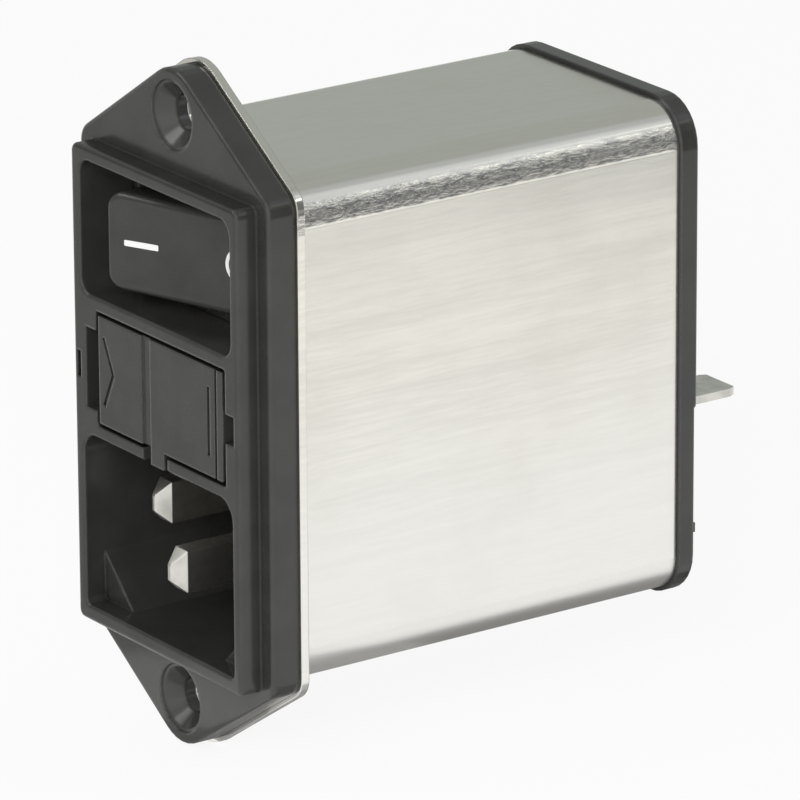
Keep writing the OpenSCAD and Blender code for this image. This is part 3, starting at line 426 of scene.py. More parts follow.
@dataclass(frozen=True)
class PlatedSheet(Finish):
    """Plated sheet metal with a fine grain along its rolling direction and a mottle where it is bent."""

    half_width: float = 13.75
    half_height: float = 23.5
    bend: float = 4.0
    length: float = 42.2
    bend_end: Span = (0.94, 1.0)
    crackle_span: Span = (0.4, 0.54)
    upper_heights: Span = (0.0, 5.0)
    low_heights: Span = (-16.0, 8.0)
    wall_span: Span = (-0.6, -0.1)
    rim_start: Span = (-0.35, -0.2)
    rim_end: Span = (0.0, 0.1)
    flange_span: Span = (0.0, 0.3)
    grain_stretch: Triple = (2.6, 0.2, 2.6)
    band_stretch: Triple = (0.7, 0.03, 0.7)
    crust_stretch: Triple = (1.0, 0.3, 1.0)
    grain_share: float = 0.6
    grain_depth: float = 0.001
    grain_rough: float = 0.14
    flat_show: float = 0.2
    streak_span: Span = (0.32, 0.68)
    streak_shades: Span = (0.9, 1.05)
    # The lower walls are painted paler, a painted brighter reflection low on the walls.
    pale: Colour = (0.9, 0.892, 0.862)
    painted_light_low_share: float = 0.75
    stained: Colour = (0.74, 0.71, 0.62)
    stain_span: Span = (0.45, 0.8)
    stain_share: float = 0.18
    stain_rough: float = 0.1
    # The crackle's pits are painted dark, a painted dark reflection on the upper bends.
    painted_dark_pit: Colour = (0.3, 0.3, 0.315)
    painted_dark_span: Span = (0.46, 0.62)
    painted_dark_share: float = 0.5
    crust_depth: float = 0.1
    # A painted highlight along the can's rear rim, next to the cover.
    rim_highlight: Colour = (0.95, 0.945, 0.93)
    rim_highlight_share: float = 0.8
    edge: float = 0.2
    lower_dull: float = 1.6
    flange_polish: float = 1.6
    polish_step: float = 0.07

    def zones(self, graph: Graph) -> SheetZones:
        """Finds the zones from the object coordinates.

        The drop is the distance below the top or above the bottom, in bend radii. The bends lie within one
        radius of a side and of the top or bottom, and only the upper ones are crackled.

        Args:
            graph: the material's shader graph.

        Returns:
            The masks.
        """
        x, y, z = graph.axes()
        drop = (self.half_height - abs(z)) / self.bend
        near_side = (abs(x) - (self.half_width - self.bend)).ease(0.0, 1.0)
        bent = near_side * (1 - drop.ease(*self.bend_end))
        upper = z.ease(*self.upper_heights)
        past_end = y - self.length
        return SheetZones(
            bent=bent,
            upper=upper,
            crackled=bent * drop.ease(*self.crackle_span) * upper,
            low=1 - z.ease(*self.low_heights),
            wall=(abs(x) - self.half_width).ease(*self.wall_span),
            rim=past_end.ease(*self.rim_start) * (1 - past_end.ease(*self.rim_end)),
            flange=1 - y.ease(*self.flange_span),
        )

    def paint(self, graph: Graph) -> None:
        """Streaks along Y that show most on the walls, a crackled skin on the upper bends with a painted dark
        reflection in its pits, walls painted paler towards the bottom as a painted reflection, and a painted
        highlight on the rear rim.

        Args:
            graph: the material's shader graph.
        """
        zones = self.zones(graph)
        fine = graph.noise(graph.place(self.grain_stretch), scale=1.0, detail=4.0, roughness=0.65)
        broad = graph.noise(graph.place(self.band_stretch), scale=1.0, detail=2.0)
        stain = graph.noise(graph.place(), scale=0.11, detail=3.0)
        crust = graph.noise(graph.place(self.crust_stretch), scale=2.4, detail=4.0, roughness=0.7)
        streak = self.grain_share * fine + (1 - self.grain_share) * broad
        show = self.flat_show + (1 - self.flat_show) * zones.wall
        tone = NOISE_MIDDLE + (streak - NOISE_MIDDLE) * show
        colour = graph.blend(tone.ease(*self.streak_span), *self.shades(self.streak_shades))
        # Painted light: the walls turn paler towards the bottom, as a brighter reflection there.
        colour = graph.blend(zones.low * self.painted_light_low_share, colour, self.pale)
        colour = graph.blend(stain.ease(*self.stain_span) * self.stain_share, colour, self.stained)
        # Painted dark reflection: dark blotches in the crackle of the upper bends.
        painted_dark_pits = zones.crackled * crust.ease(*self.painted_dark_span) * self.painted_dark_share
        colour = graph.blend(painted_dark_pits, colour, self.painted_dark_pit)
        # Painted highlight: a near-white band along the rear rim.
        colour = graph.blend(zones.rim * self.rim_highlight_share, colour, self.rim_highlight)
        bend_smooth = zones.bent * ((1 + self.lower_dull) * zones.upper - self.lower_dull)
        smooth = (bend_smooth + self.flange_polish * zones.flange).at_most(self.flange_polish)
        rough = self.roughness + fine.swing(self.grain_rough) * show + stain.swing(self.stain_rough)
        grained = graph.bump(streak * show, self.grain_depth, graph.soft_edges(self.edge))
        graph.surface({
            "Base Color": colour,
            "Metallic": 1.0,
            "Roughness": rough - self.polish_step * smooth,
            "Normal": graph.bump(crust * zones.crackled, self.crust_depth, grained),
        })


@dataclass(frozen=True)
class PlatedBlade(Finish):
    """Plated blade metal with faint wiping marks along its length."""

    wipe_stretch: Triple = (5.0, 0.12, 5.0)
    wipe_depth: float = 0.001
    dull_span: Span = (0.35, 0.75)
    dull_shades: Span = (1.05, 0.86)
    uneven: float = 0.1
    edge: float = 0.1

    def paint(self, graph: Graph) -> None:
        """Lengthwise streaks in roughness and bump, with a dull patch here and there.

        Args:
            graph: the material's shader graph.
        """
        wipe = graph.noise(graph.place(self.wipe_stretch), scale=1.0, detail=3.0, roughness=0.6)
        dull = graph.noise(graph.place(), scale=0.6, detail=3.0)
        base = graph.blend(dull.ease(*self.dull_span), *self.shades(self.dull_shades))
        rough = self.roughness + wipe.swing(self.uneven) + dull.swing(self.uneven)
        normal = graph.bump(wipe, self.wipe_depth, graph.soft_edges(self.edge))
        graph.surface({"Base Color": base, "Metallic": 1.0, "Roughness": rough, "Normal": normal})


@dataclass(frozen=True)
class StampedMetal(Finish):
    """Bare stamped strip or wire, with tarnish in blotches."""

    tarnish: Colour = (0.4, 0.26, 0.12)
    tarnish_span: Span = (0.45, 0.8)
    tarnish_share: float = 0.6
    tarnish_rough: float = 0.2
    roll_stretch: Triple = (4.0, 0.4, 4.0)
    roll_rough: float = 0.1
    roll_depth: float = 0.004
    edge: float = 0.06

    def paint(self, graph: Graph) -> None:
        """Tarnish blotches over a fine rolled grain.

        Args:
            graph: the material's shader graph.
        """
        blotch = graph.noise(graph.place(), scale=0.7, detail=4.0, roughness=0.6)
        roll = graph.noise(graph.place(self.roll_stretch), scale=1.0, detail=2.0)
        share = blotch.ease(*self.tarnish_span) * self.tarnish_share
        base = graph.blend(share, self.colour, self.tarnish)
        rough = self.roughness + blotch.swing(self.tarnish_rough) + roll.swing(self.roll_rough)
        normal = graph.bump(roll, self.roll_depth, graph.soft_edges(self.edge))
        graph.surface({"Base Color": base, "Metallic": 1.0, "Roughness": rough, "Normal": normal})


@dataclass(frozen=True)
class ClearGlass(Finish):
    """Clear glass tube with a faint haze."""

    haze_span: Span = (0.4, 0.8)
    haze_rough: float = 0.08
    haze_shade: float = 0.97
    refraction: float = 1.5

    def paint(self, graph: Graph) -> None:
        """Clear, with finger haze in the roughness.

        Args:
            graph: the material's shader graph.
        """
        haze = graph.noise(graph.place(), scale=0.5, detail=3.0)
        graph.surface({
            "Base Color": graph.blend(haze, self.colour, self.shade(self.haze_shade)),
            "Roughness": self.roughness + self.haze_rough * haze.ease(*self.haze_span),
            "Transmission Weight": 1.0,
            "IOR": self.refraction,
        })


@dataclass(frozen=True)
class CoatedPart(Finish):
    """Glossy lacquer, dip coating or moulding on a small electrical part."""

    ripple: float = 1.2
    ripple_span: Span = (0.25, 0.75)
    ripple_shades: Span = (0.86, 1.1)
    ripple_depth: float = 0.02
    dust: Colour = (0.5, 0.48, 0.44)
    dust_span: Span = (0.62, 0.85)
    dust_share: float = 0.25
    dust_rough: float = 0.15
    edge: float = 0.2

    def paint(self, graph: Graph) -> None:
        """A slow ripple in the coating, with specks of dust.

        Args:
            graph: the material's shader graph.
        """
        wave = graph.noise(graph.place(), scale=self.ripple, detail=2.0)
        speck = graph.noise(graph.place(), scale=6.0, detail=2.0, roughness=0.7)
        base = graph.blend(wave.ease(*self.ripple_span), *self.shades(self.ripple_shades))
        dusty = graph.blend(speck.ease(*self.dust_span) * self.dust_share, base, self.dust)
        rough = self.roughness + speck.swing(self.dust_rough)
        normal = graph.bump(wave, self.ripple_depth, graph.soft_edges(self.edge))
        graph.surface({"Base Color": dusty, "Roughness": rough, "Normal": normal})


@dataclass(frozen=True)
class PaintedBoard(Finish):
    """Circuit board under solder mask, with a woven core that shows faintly."""

    weave_scale: float = 1.6
    weave_shades: Span = (0.85, 1.15)
    weave_rough: float = 0.1
    weave_depth: float = 0.01
    edge: float = 0.1

    def threads(self, graph: Graph, axis: str) -> Term:
        """Threads of the weave that follow each other along an axis."""
        settings = {"wave_type": "BANDS", "bands_direction": axis}
        sockets = {"Vector": graph.place(), "Scale": self.weave_scale}
        return graph.node("ShaderNodeTexWave", settings, sockets, output="Fac")

    def paint(self, graph: Graph) -> None:
        """A fine weave under the mask, in two crossed wave patterns.

        Args:
            graph: the material's shader graph.
        """
        weave = self.threads(graph, "X") * self.threads(graph, "Z")
        base = graph.blend(weave, *self.shades(self.weave_shades))
        rough = self.roughness + weave.swing(self.weave_rough)
        normal = graph.bump(weave, self.weave_depth, graph.soft_edges(self.edge))
        graph.surface({"Base Color": base, "Roughness": rough, "Normal": normal})


@dataclass(frozen=True)
class PrintedInk(Finish):
    """Opaque printing ink, thin over the plastic's texture."""

    thin_span: Span = (0.55, 0.9)
    thin_share: float = 0.3
    thin_shade: float = 0.7
    thin_rough: float = 0.1
    depth: float = 0.006

    def paint(self, graph: Graph) -> None:
        """Nearly even colour, a little thin in places.

        Args:
            graph: the material's shader graph.
        """
        thin = graph.noise(graph.place(), scale=5.0, detail=3.0, roughness=0.6)
        share = thin.ease(*self.thin_span) * self.thin_share
        base = graph.blend(share, self.colour, self.shade(self.thin_shade))
        rough = self.roughness + thin.swing(self.thin_rough)
        graph.surface({"Base Color": base, "Roughness": rough, "Normal": graph.bump(thin, self.depth)})


FINISHES: dict[Slot, Finish] = {
    Slot.BLACK_PLASTIC: MouldedPlastic("black_moulding", (0.034, 0.0338, 0.0315), 0.19),
    Slot.SATIN_PLASTIC: MouldedPlastic("satin_moulding", (0.036, 0.036, 0.0345), 0.24),
    Slot.SWITCH_PLASTIC: MouldedPlastic("switch_moulding", (0.032, 0.032, 0.0305), 0.26),
    # The natural moulding's edges get a weaker painted highlight.
    Slot.WHITE_PLASTIC: MouldedPlastic("natural_moulding", (0.78, 0.76, 0.69), 0.45, edge_highlight_lift=1.1),
    Slot.CAN_METAL: PlatedSheet("plated_sheet", (0.86, 0.843, 0.768), 0.23),
    Slot.PLATED_METAL: PlatedBlade("plated_blade", (0.8, 0.785, 0.73), 0.42),
    Slot.SPRING_STEEL: PlatedBlade("spring_wire", (0.56, 0.56, 0.56), 0.3),
    Slot.CONTACT_BRASS: StampedMetal("stamped_brass", (0.78, 0.6, 0.3), 0.3),
    Slot.CONTACT_COPPER: StampedMetal("bare_copper", (0.74, 0.42, 0.24), 0.32, (0.34, 0.16, 0.1)),
    Slot.FUSE_GLASS: ClearGlass("fuse_glass", (0.95, 0.97, 0.97), 0.02),
    Slot.BOARD_GREEN: PaintedBoard("solder_mask", (0.06, 0.2, 0.09), 0.35),
    Slot.CAPACITOR_YELLOW: CoatedPart("box_capacitor", (0.72, 0.5, 0.08), 0.4, ripple_depth=0.01),
    Slot.CAPACITOR_BLUE: CoatedPart("dipped_capacitor", (0.08, 0.22, 0.5), 0.3, ripple_depth=0.05),
    Slot.CORE_COATING: CoatedPart("coated_ferrite", (0.14, 0.2, 0.14), 0.5),
    Slot.RESISTOR_TAN: CoatedPart("lacquered_resistor", (0.52, 0.36, 0.2), 0.35),
    Slot.LEAD_BROWN: CoatedPart("brown_insulation", (0.16, 0.08, 0.04), 0.45, ripple_depth=0.01),
    Slot.LEAD_BLUE: CoatedPart("blue_insulation", (0.06, 0.14, 0.38), 0.45, ripple_depth=0.01),
    Slot.LEAD_GREEN: CoatedPart("green_insulation", (0.3, 0.38, 0.05), 0.45, ripple_depth=0.01),
}
PRINTED_WHITE = PrintedInk("printed_white", (0.82, 0.82, 0.8), 0.5)


# Surfaces on a grid


def grid_piece(
    name: str, points: np.ndarray, ring: bool = False, sharp_deg: float = 42.0
) -> bpy.types.Object:
    """Makes a closed mesh from loops of points.

    Each row of the grid is a closed loop. A ring joins its last loop to the first, and any other piece
    closes both end loops with a fan round the middle of the loop. The faces turn outwards by the sign of
    the enclosed volume, which is a sixth of the sum of each triangle's triple product.

    Args:
        name: the piece's name.
        points: array of rows, columns and three coordinates, in millimetres.
        ring: whether the rows close on themselves.
        sharp_deg: angle between faces from which an edge stays sharp.

    Returns:
        The new object, at the origin.
    """
    rows, columns, _ = points.shape
    index = np.arange(rows * columns).reshape(rows, columns)
    after = np.roll(index, -1, axis=1)
    first, second = (index, after) if ring else (index[:-1], after[:-1])
    third = np.roll(after, -1, axis=0) if ring else after[1:]
    fourth = np.roll(index, -1, axis=0) if ring else index[1:]
    quads = np.stack([first, second, third, fourth], axis=-1).reshape(-1, 4)
    vertices = points.reshape(-1, 3)
    fans = np.zeros((0, 3), int)
    if not ring:
        poles = rows * columns + np.arange(2)
        vertices = np.vstack([vertices, points[0].mean(0), points[-1].mean(0)])
        front = np.stack([np.full(columns, poles[0]), after[0], index[0]], axis=-1)
        back = np.stack([np.full(columns, poles[1]), index[-1], after[-1]], axis=-1)
        fans = np.vstack([front, back])
    triangles = np.vstack([quads[:, [0, 1, 2]], quads[:, [0, 2, 3]], fans])
    a, b, c = (vertices[triangles[:, k]] for k in range(3))
    if np.einsum("ij,ij->", a, np.cross(b, c)) < 0:
        quads, fans = quads[:, ::-1], fans[:, ::-1]
    mesh = bpy.data.meshes.new(name)
    mesh.from_pydata((vertices * MM).tolist(), [], quads.tolist() + fans.tolist())
    mesh.validate()
    mesh.shade_smooth()
    mesh.set_sharp_from_angle(angle=math.radians(sharp_deg))
    return linked(name, mesh)


def open_sheet(name: str, points: np.ndarray) -> bpy.types.Object:
    """Makes an open mesh from a grid of points.

    Args:
        name: the sheet's name.
        points: array of rows, columns and three coordinates, in metres.

    Returns:
        The new object, at the origin.
    """
    rows, columns, _ = points.shape
    index = np.arange(rows * columns).reshape(rows, columns)
    around = [index[:-1, :-1], index[:-1, 1:], index[1:, 1:], index[1:, :-1]]
    quads = np.stack(around, axis=-1).reshape(-1, 4)
    mesh = bpy.data.meshes.new(name)
    mesh.from_pydata(points.reshape(-1, 3).tolist(), [], quads.tolist())
    return linked(name, mesh)


def linked(name: str, data: bpy.types.ID) -> bpy.types.Object:
    """Makes an object of a mesh, a lamp or a camera and puts it into the scene.

    Args:
        name: the object's name.
        data: what it holds.

    Returns:
        The new object, at the origin.
    """
    made = bpy.data.objects.new(name, data)
    bpy.context.scene.collection.objects.link(made)
    return made


def rounded_loop(width: np.ndarray, height: np.ndarray, radius: np.ndarray, steps: int = 8) -> np.ndarray:
    """Loops of rounded rectangles.

    A loop is a quarter circle at each corner: the corner's centre plus the radius along the angle.

    Args:
        width: widths of the loops.
        height: heights of the loops.
        radius: corner radii.
        steps: points on each corner.

    Returns:
        Array of loops, points and two coordinates.
    """
    quarter = np.arange(4).repeat(steps)
    angle = (quarter + np.tile(np.linspace(0, 1, steps), 4)) * math.pi / 2
    side_x = np.where((quarter == 0) | (quarter == 3), 1, -1)
    side_z = np.where(quarter < 2, 1, -1)
    width, height, radius = (np.atleast_1d(v)[:, None] for v in (width, height, radius))
    x = side_x * (width / 2 - radius) + radius * np.cos(angle)
    z = side_z * (height / 2 - radius) + radius * np.sin(angle)
    return np.stack([x, z], axis=-1)


def corners(node: str) -> tuple[np.ndarray, np.ndarray]:
    """Lowest and highest corner of a CAD node, in millimetres."""
    low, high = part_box(node)
    return np.array(low) / MM, np.array(high) / MM


def settle(piece: bpy.types.Object, body: Body, slot: Slot, finish: Finish | None = None) -> None:
    """Gives a new piece its body and the finish of its slot, or a finish of its own.

    Args:
        piece: the new piece.
        body: the body that it rides on.
        slot: the record's slot that it takes its finish from.
        finish: a finish of its own, where it isn't the slot's.
    """
    piece.data.materials.append((finish or FINISHES[slot]).material())
    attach(piece, body.value)
    log.info("built %s", piece.name)


# Sub-assemblies


@dataclass
class ConnectorPins:
    """The three blades in the connector recess, with rounded corners and tapered tips."""

    nodes: tuple[str, ...] = ("line_pin", "neutral_pin", "earth_pin")
    tip_taper: float = 1.4
    tip_thickness: float = 0.45
    tip_height: float = 1.5
    tip_round: float = 0.12
    tip_steps: int = 6
    taper_shares: tuple[float, ...] = (0.5, 1.0, 1.06)
    corner: float = 0.12
    tail_length: float = 3.0
    tail_thickness: float = 1.0
    tail_height: float = 2.4
    tail_step: float = 0.2
    tail_bevel: float = 0.15
    sharp_deg: float = 14.0

    def build(self) -> None:
        """Replaces each CAD blade by a rounded one in its place."""
        for node in self.nodes:
            piece = grid_piece("blade_" + node, self.surface(node), sharp_deg=self.sharp_deg)
            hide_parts(node)
            settle(piece, Body.HOUSING, Slot.PLATED_METAL)

    def surface(self, node: str) -> np.ndarray:
        """A rounded rectangle carried along Y.

        Width and height grow in a straight line from the tip to the shank and drop to the tail's. The first
        stations draw the section in by a quarter circle, so that the tip's edge is round.

        Args:
            node: the CAD blade that gives the place and the outer sizes.

        Returns:
            Loops of points along the blade.
        """
        low, high = corners(node)
        size = high - low
        turn = np.linspace(0, math.pi / 2, self.tip_steps)
        nose = low[1] + self.tip_round * (1 - np.cos(turn))
        taper = [low[1] + self.tip_taper * share for share in self.taper_shares]
        tail_y = high[1] - self.tail_length
        tail = [tail_y, high[1] - self.tail_bevel, high[1]]
        stations = np.array([*nose, *taper, tail_y - self.tail_step, tail_y, *tail])
        drawn_in = np.zeros_like(stations)
        drawn_in[: len(nose)] = self.tip_round * (1 - np.sin(turn))
        drawn_in[-1] = self.tail_bevel
        grow = np.clip((stations - low[1]) / self.tip_taper, 0, 1)
        width = self.tip_thickness + grow * (size[0] - self.tip_thickness)
        height = self.tip_height + grow * (size[2] - self.tip_height)
        width[-len(tail):] = self.tail_thickness
        height[-len(tail):] = self.tail_height
        loops = rounded_loop(width - 2 * drawn_in, height - 2 * drawn_in, self.corner - drawn_in / 2)
        middle = (low + high) / 2
        y = np.broadcast_to(stations[:, None], loops.shape[:2])
        return np.stack([middle[0] + loops[..., 0], y, middle[2] + loops[..., 1]], axis=-1)


@dataclass
class RockerSwitch:
    """The rocker's dished cap with soft edges, its axle, and the bar and the ring printed on its face."""

    length: float = 19.5
    height: float = 9.2
    corner: float = 1.6
    edge: float = 0.6
    edge_steps: int = 7
    face_rise: float = 3.55
    face_start: float = 0.05
    face_steps: int = 12
    dish: float = 51.0
    skirt: Span = (9.45, -1.89)
    hub_root: Span = (4.2, -0.4)
    hub_foot: Span = (2.6, 2.3)
    hub_corner: float = 0.4
    cap_sharp_deg: float = 30.0
    axle_radius: float = 1.0
    axle_half: float = 5.8
    axle_bevel: float = 0.15
    axle_steps: int = 32
    bar_middle: float = -6.12
    bar_length: float = 3.55
    bar_thickness: float = 0.55
    bar_shares: Triple = (0.3, 0.7, 1.0)
    bar_corner: float = 0.2
    bar_steps: int = 4
    ring_middle: float = 4.82
    ring_radius: float = 1.42
    ring_thickness: float = 0.38
    ring_steps: int = 64
    proud: float = 0.02
    sunk: float = 0.06

    def build(self) -> None:
        """Replaces the CAD rocker and prints the two signs, which all tilt together."""
        cap = grid_piece("rocker_cap", self.in_part(*self.cap()), sharp_deg=self.cap_sharp_deg)
        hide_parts("rocker")
        axle = grid_piece("rocker_axle", self.in_part(*self.axle()))
        for piece in (cap, axle):
            settle(piece, Body.ROCKER, Slot.SATIN_PLASTIC)
        bar = grid_piece("mark_bar", self.in_part(*self.bar()))
        ring = grid_piece("mark_ring", self.in_part(*self.ring()), ring=True)
        for piece in (bar, ring):
            settle(piece, Body.ROCKER, Slot.WHITE_PLASTIC, PRINTED_WHITE)

    def face(self, along: np.ndarray) -> np.ndarray:
        """Depth of the dished face: a circle's arc, lowest in the middle."""
        return -(self.face_rise + self.dish - np.sqrt(self.dish**2 - along**2))

    def print_heights(self) -> np.ndarray:
        """Heights of a printed sign's six profile points: three above the face and three in it."""
        return np.repeat([self.proud, -self.sunk], 3)

    def cap(self) -> Places:
        """The cap and its hub as one skin.

        Rounded rectangles grow from the middle of the face to its edge, turn down on a quarter circle, run
        down the sides, and draw in below to the hub.

        Returns:
            Places along the rocker, up it, and in depth.
        """
        share = np.linspace(self.face_start, 1, self.face_steps)
        turn = np.linspace(0, math.pi / 2, self.edge_steps)[1:]
        inset = np.concatenate([np.full(len(share), self.edge), self.edge * (1 - np.sin(turn))])
        drop = np.concatenate([np.zeros(len(share)), self.edge * (1 - np.cos(turn))])
        share = np.concatenate([share, np.ones(len(turn))])
        length, height = self.length - 2 * inset, self.height - 2 * inset
        top = rounded_loop(share * length, share * height, share * (self.corner - inset))
        below = np.array([self.skirt, self.hub_root, self.hub_foot])
        foot_corners = np.array([self.corner, self.hub_corner, self.hub_corner])
        foot = rounded_loop(2 * below[:, 0], np.full(len(below), self.height), foot_corners)
        depth = self.face(top[..., 0]) + drop[:, None]
        foot_depth = np.broadcast_to(below[:, 1:], foot.shape[:2])
        flat = np.concatenate([top, foot])
        return flat[..., 0], flat[..., 1], np.concatenate([depth, foot_depth])

    def axle(self) -> Places:
        """A round bar along the pivot axis: circles at both ends, drawn in by the bevel at the very ends.

        Returns:
            Places along the rocker, up it, and in depth.
        """
        angle = np.linspace(0, 2 * math.pi, self.axle_steps, endpoint=False)[None, :]
        inset = self.axle_bevel * np.array([1, 0, 0, 1])
        radius = (self.axle_radius - inset)[:, None]
        up = (self.axle_half - self.axle_bevel + inset) * np.array([-1, -1, 1, 1])
        across, depth = radius * np.cos(angle), radius * np.sin(angle)
        return across, np.broadcast_to(up[:, None], across.shape), depth

    def bar(self) -> Places:
        """A flat bar: rounded rectangles that grow from its middle line, turn under and shrink back.

        Returns:
            Places along the rocker, up it, and in depth.
        """
        share = np.array([*self.bar_shares, *reversed(self.bar_shares)])
        inset = (1 - share) * self.bar_thickness
        length, thickness = self.bar_length - inset, self.bar_thickness - inset
        loops = rounded_loop(length, thickness, thickness * self.bar_corner, self.bar_steps)
        along = self.bar_middle + loops[..., 0]
        return along, loops[..., 1], self.face(along) - self.print_heights()[:, None]

    def ring(self) -> Places:
        """A flat ring: a thin rectangle carried round a circle.

        Returns:
            Places along the rocker, up it, and in depth.
        """
        angle = np.linspace(0, 2 * math.pi, self.ring_steps, endpoint=False)[:, None]
        radius = self.ring_radius + np.array([-1, 0, 1, 1, 0, -1]) * self.ring_thickness / 2
        along = self.ring_middle + radius * np.cos(angle)
        return along, radius * np.sin(angle), self.face(along) - self.print_heights()

    def in_part(self, along: np.ndarray, up: np.ndarray, depth: np.ndarray) -> np.ndarray:
        """Turns the rocker's frame by half its travel about the pivot.

        Args:
            along: distance along the rocker from its middle.
            up: height from the rocker's middle line.
            depth: distance behind the pivot axis.

        Returns:
            Points in the part's frame.
        """
        joint = next(j for j in frame["joints"] if j["name"] == "rocker_tilt")
        pivot = np.array(joint["pos_m"]) / MM
        tilt = math.radians(joint["range_deg"][1] / 2)
        x = pivot[0] + along * math.cos(tilt) - depth * math.sin(tilt)
        y = pivot[1] + along * math.sin(tilt) + depth * math.cos(tilt)
        return np.stack([x, y, pivot[2] + up], axis=-1)


@dataclass
class CanBend:
    """The drawn can's root: the rounded bend where its walls turn out into the flange."""

    cover_overhang: float = 0.4
    corner: float = 4.0
    corner_steps: int = 12
    bend: float = 0.7
    bend_steps: int = 9
    run_out: float = 0.6
    sink: float = 0.02
    embed: float = 0.08

    def build(self) -> None:
        """Adds the bend as a ring round the can."""
        piece = grid_piece("can_bend", self.surface(), ring=True)
        settle(piece, Body.HOUSING, Slot.CAN_METAL)

    def surface(self) -> np.ndarray:
        """A hollow quarter circle carried round the can's outline.

        The profile sinks into the wall at one end and into the flange at the other. Between them it runs on
        a circle whose centre stands off both by the bend's radius, and it closes under both faces.

        Returns:
            Points by profile place and place round the can.
        """
        low, high = corners("rear_cover")
        width, height = (high - low)[[0, 2]] - 2 * self.cover_overhang
        angle = np.linspace(0, math.pi / 2, self.bend_steps)
        far, sunk, under = self.bend + self.run_out, -self.sink, -self.embed
        out = np.array([sunk, *(self.bend * (1 - np.cos(angle))), far, far, under, under])
        back = np.array([far, *(self.bend * (1 - np.sin(angle))), sunk, under, under, far])
        loops = rounded_loop(width + 2 * out, height + 2 * out, self.corner + out, self.corner_steps)
        y = np.broadcast_to(back[:, None], loops.shape[:2])
        return np.stack([loops[..., 0], y, loops[..., 1]], axis=-1)


class Dressing:
    """The finishes of the CAD nodes that stay in sight."""

    def dress(self) -> None:
        """Gives each CAD node its slot's finish."""
        for row in frame["record"]["subparts"]:
            node = frame["nodes"][row["node"]]
            node.data.materials.clear()
            node.data.materials.append(FINISHES[Slot(row["material_slot"])].material())
            log.info("dressed %s", node.name)


# Studio


def facing(bearing_deg: float, height_deg: float) -> Vector:
    """Direction from the part.

    Args:
        bearing_deg: bearing from +X towards +Y.
        height_deg: height above level.

    Returns:
        The unit vector.
    """
    bearing, height = math.radians(bearing_deg), math.radians(height_deg)
    level = math.cos(height)
    return Vector((level * math.cos(bearing), level * math.sin(bearing), math.sin(height)))


def fresh_material(piece: bpy.types.Object) -> bpy.types.Material:
    """Puts a new node material of the piece's own name on the piece.

    Args:
        piece: a piece of the stage.

    Returns:
        The material.
    """
    made = bpy.data.materials.new(piece.name)
    made.use_nodes = True
    piece.data.materials.append(made)
    return made


@dataclass(frozen=True)
class Card(ABC):
    """A grey card that only reflections show."""

    name: str
    bearings: Span
    level: float
    tint: Colour = field(default=WHITE, kw_only=True)

    @abstractmethod
    def points(self) -> np.ndarray:
        """Grid of the card's points, in millimetres."""

    def build(self) -> None:
        """Stands the card, which glows evenly at its level of white."""
        card = open_sheet(self.name, self.points() * MM)
        graph = Graph(fresh_material(card).node_tree)
        glow = graph.node("ShaderNodeEmission", None, {"Color": self.tint, "Strength": self.level})
        graph.node("ShaderNodeOutputMaterial", None, {"Surface": glow})
        card.visible_camera = card.visible_diffuse = False
        card.visible_shadow = card.visible_transmission = False


@dataclass(frozen=True)
class WallCard(Card):
    """A curved card round the part."""

    heights: Span
    distance: float = 900.0
    steps: tuple[int, int] = (25, 13)

    def points(self) -> np.ndarray:
        """A patch of a sphere: a grid of bearings and heights, in degrees, at one distance.

        Returns:
            Grid of points.
        """
        bearings = np.radians(np.linspace(*self.bearings, self.steps[0]))
        heights = np.radians(np.linspace(*self.heights, self.steps[1]))
        bearing, height = np.meshgrid(bearings, heights)
        x, y = np.cos(height) * np.cos(bearing), np.cos(height) * np.sin(bearing)
        return self.distance * np.stack([x, y, np.sin(height)], axis=-1)


@dataclass(frozen=True)
class FloorCard(Card):
    """A card that lies on the floor."""

    reach: Span
    centre: Span = (0.0, 0.0)
    lift: float = 0.5
    steps: tuple[int, int] = (25, 9)

    def points(self) -> np.ndarray:
        """A part of a flat ring: a grid of bearings, in degrees, and distances from its centre.

        Returns:
            Grid of points.
        """
        bearings = np.radians(np.linspace(*self.bearings, self.steps[0]))
        bearing, distance = np.meshgrid(bearings, np.linspace(*self.reach, self.steps[1]))
        x = self.centre[0] + distance * np.cos(bearing)
        y = self.centre[1] + distance * np.sin(bearing)
        return np.stack([x, y, np.full_like(x, cad_box[0].z / MM + self.lift)], axis=-1)


@dataclass(frozen=True)
class Lamp:
    """A soft lamp that points at the part."""

    name: str
    distance: float
    bearing: float
    height: float
    size: Span
    level: float
    mirrored: bool = True

    def build(self) -> None:
        """Hangs the lamp. A level of 1 shows a white surface that faces it as white."""
        data = bpy.data.lights.new(self.name, "AREA")
        data.shape = "RECTANGLE"
        data.size, data.size_y = (side * MM for side in self.size)
        data.energy = self.level * (math.pi * self.distance * MM) ** 2
        toward = facing(self.bearing, self.height)
        lamp = linked(self.name, data)
        lamp.location = toward * self.distance * MM
        lamp.rotation_mode = "QUATERNION"
        lamp.rotation_quaternion = toward.to_track_quat("Z", "Y")
        lamp.visible_camera = False
        lamp.visible_glossy = self.mirrored


COOL: Colour = (0.92, 0.95, 1.0)
GREENISH: Colour = (0.95, 1.0, 0.97)


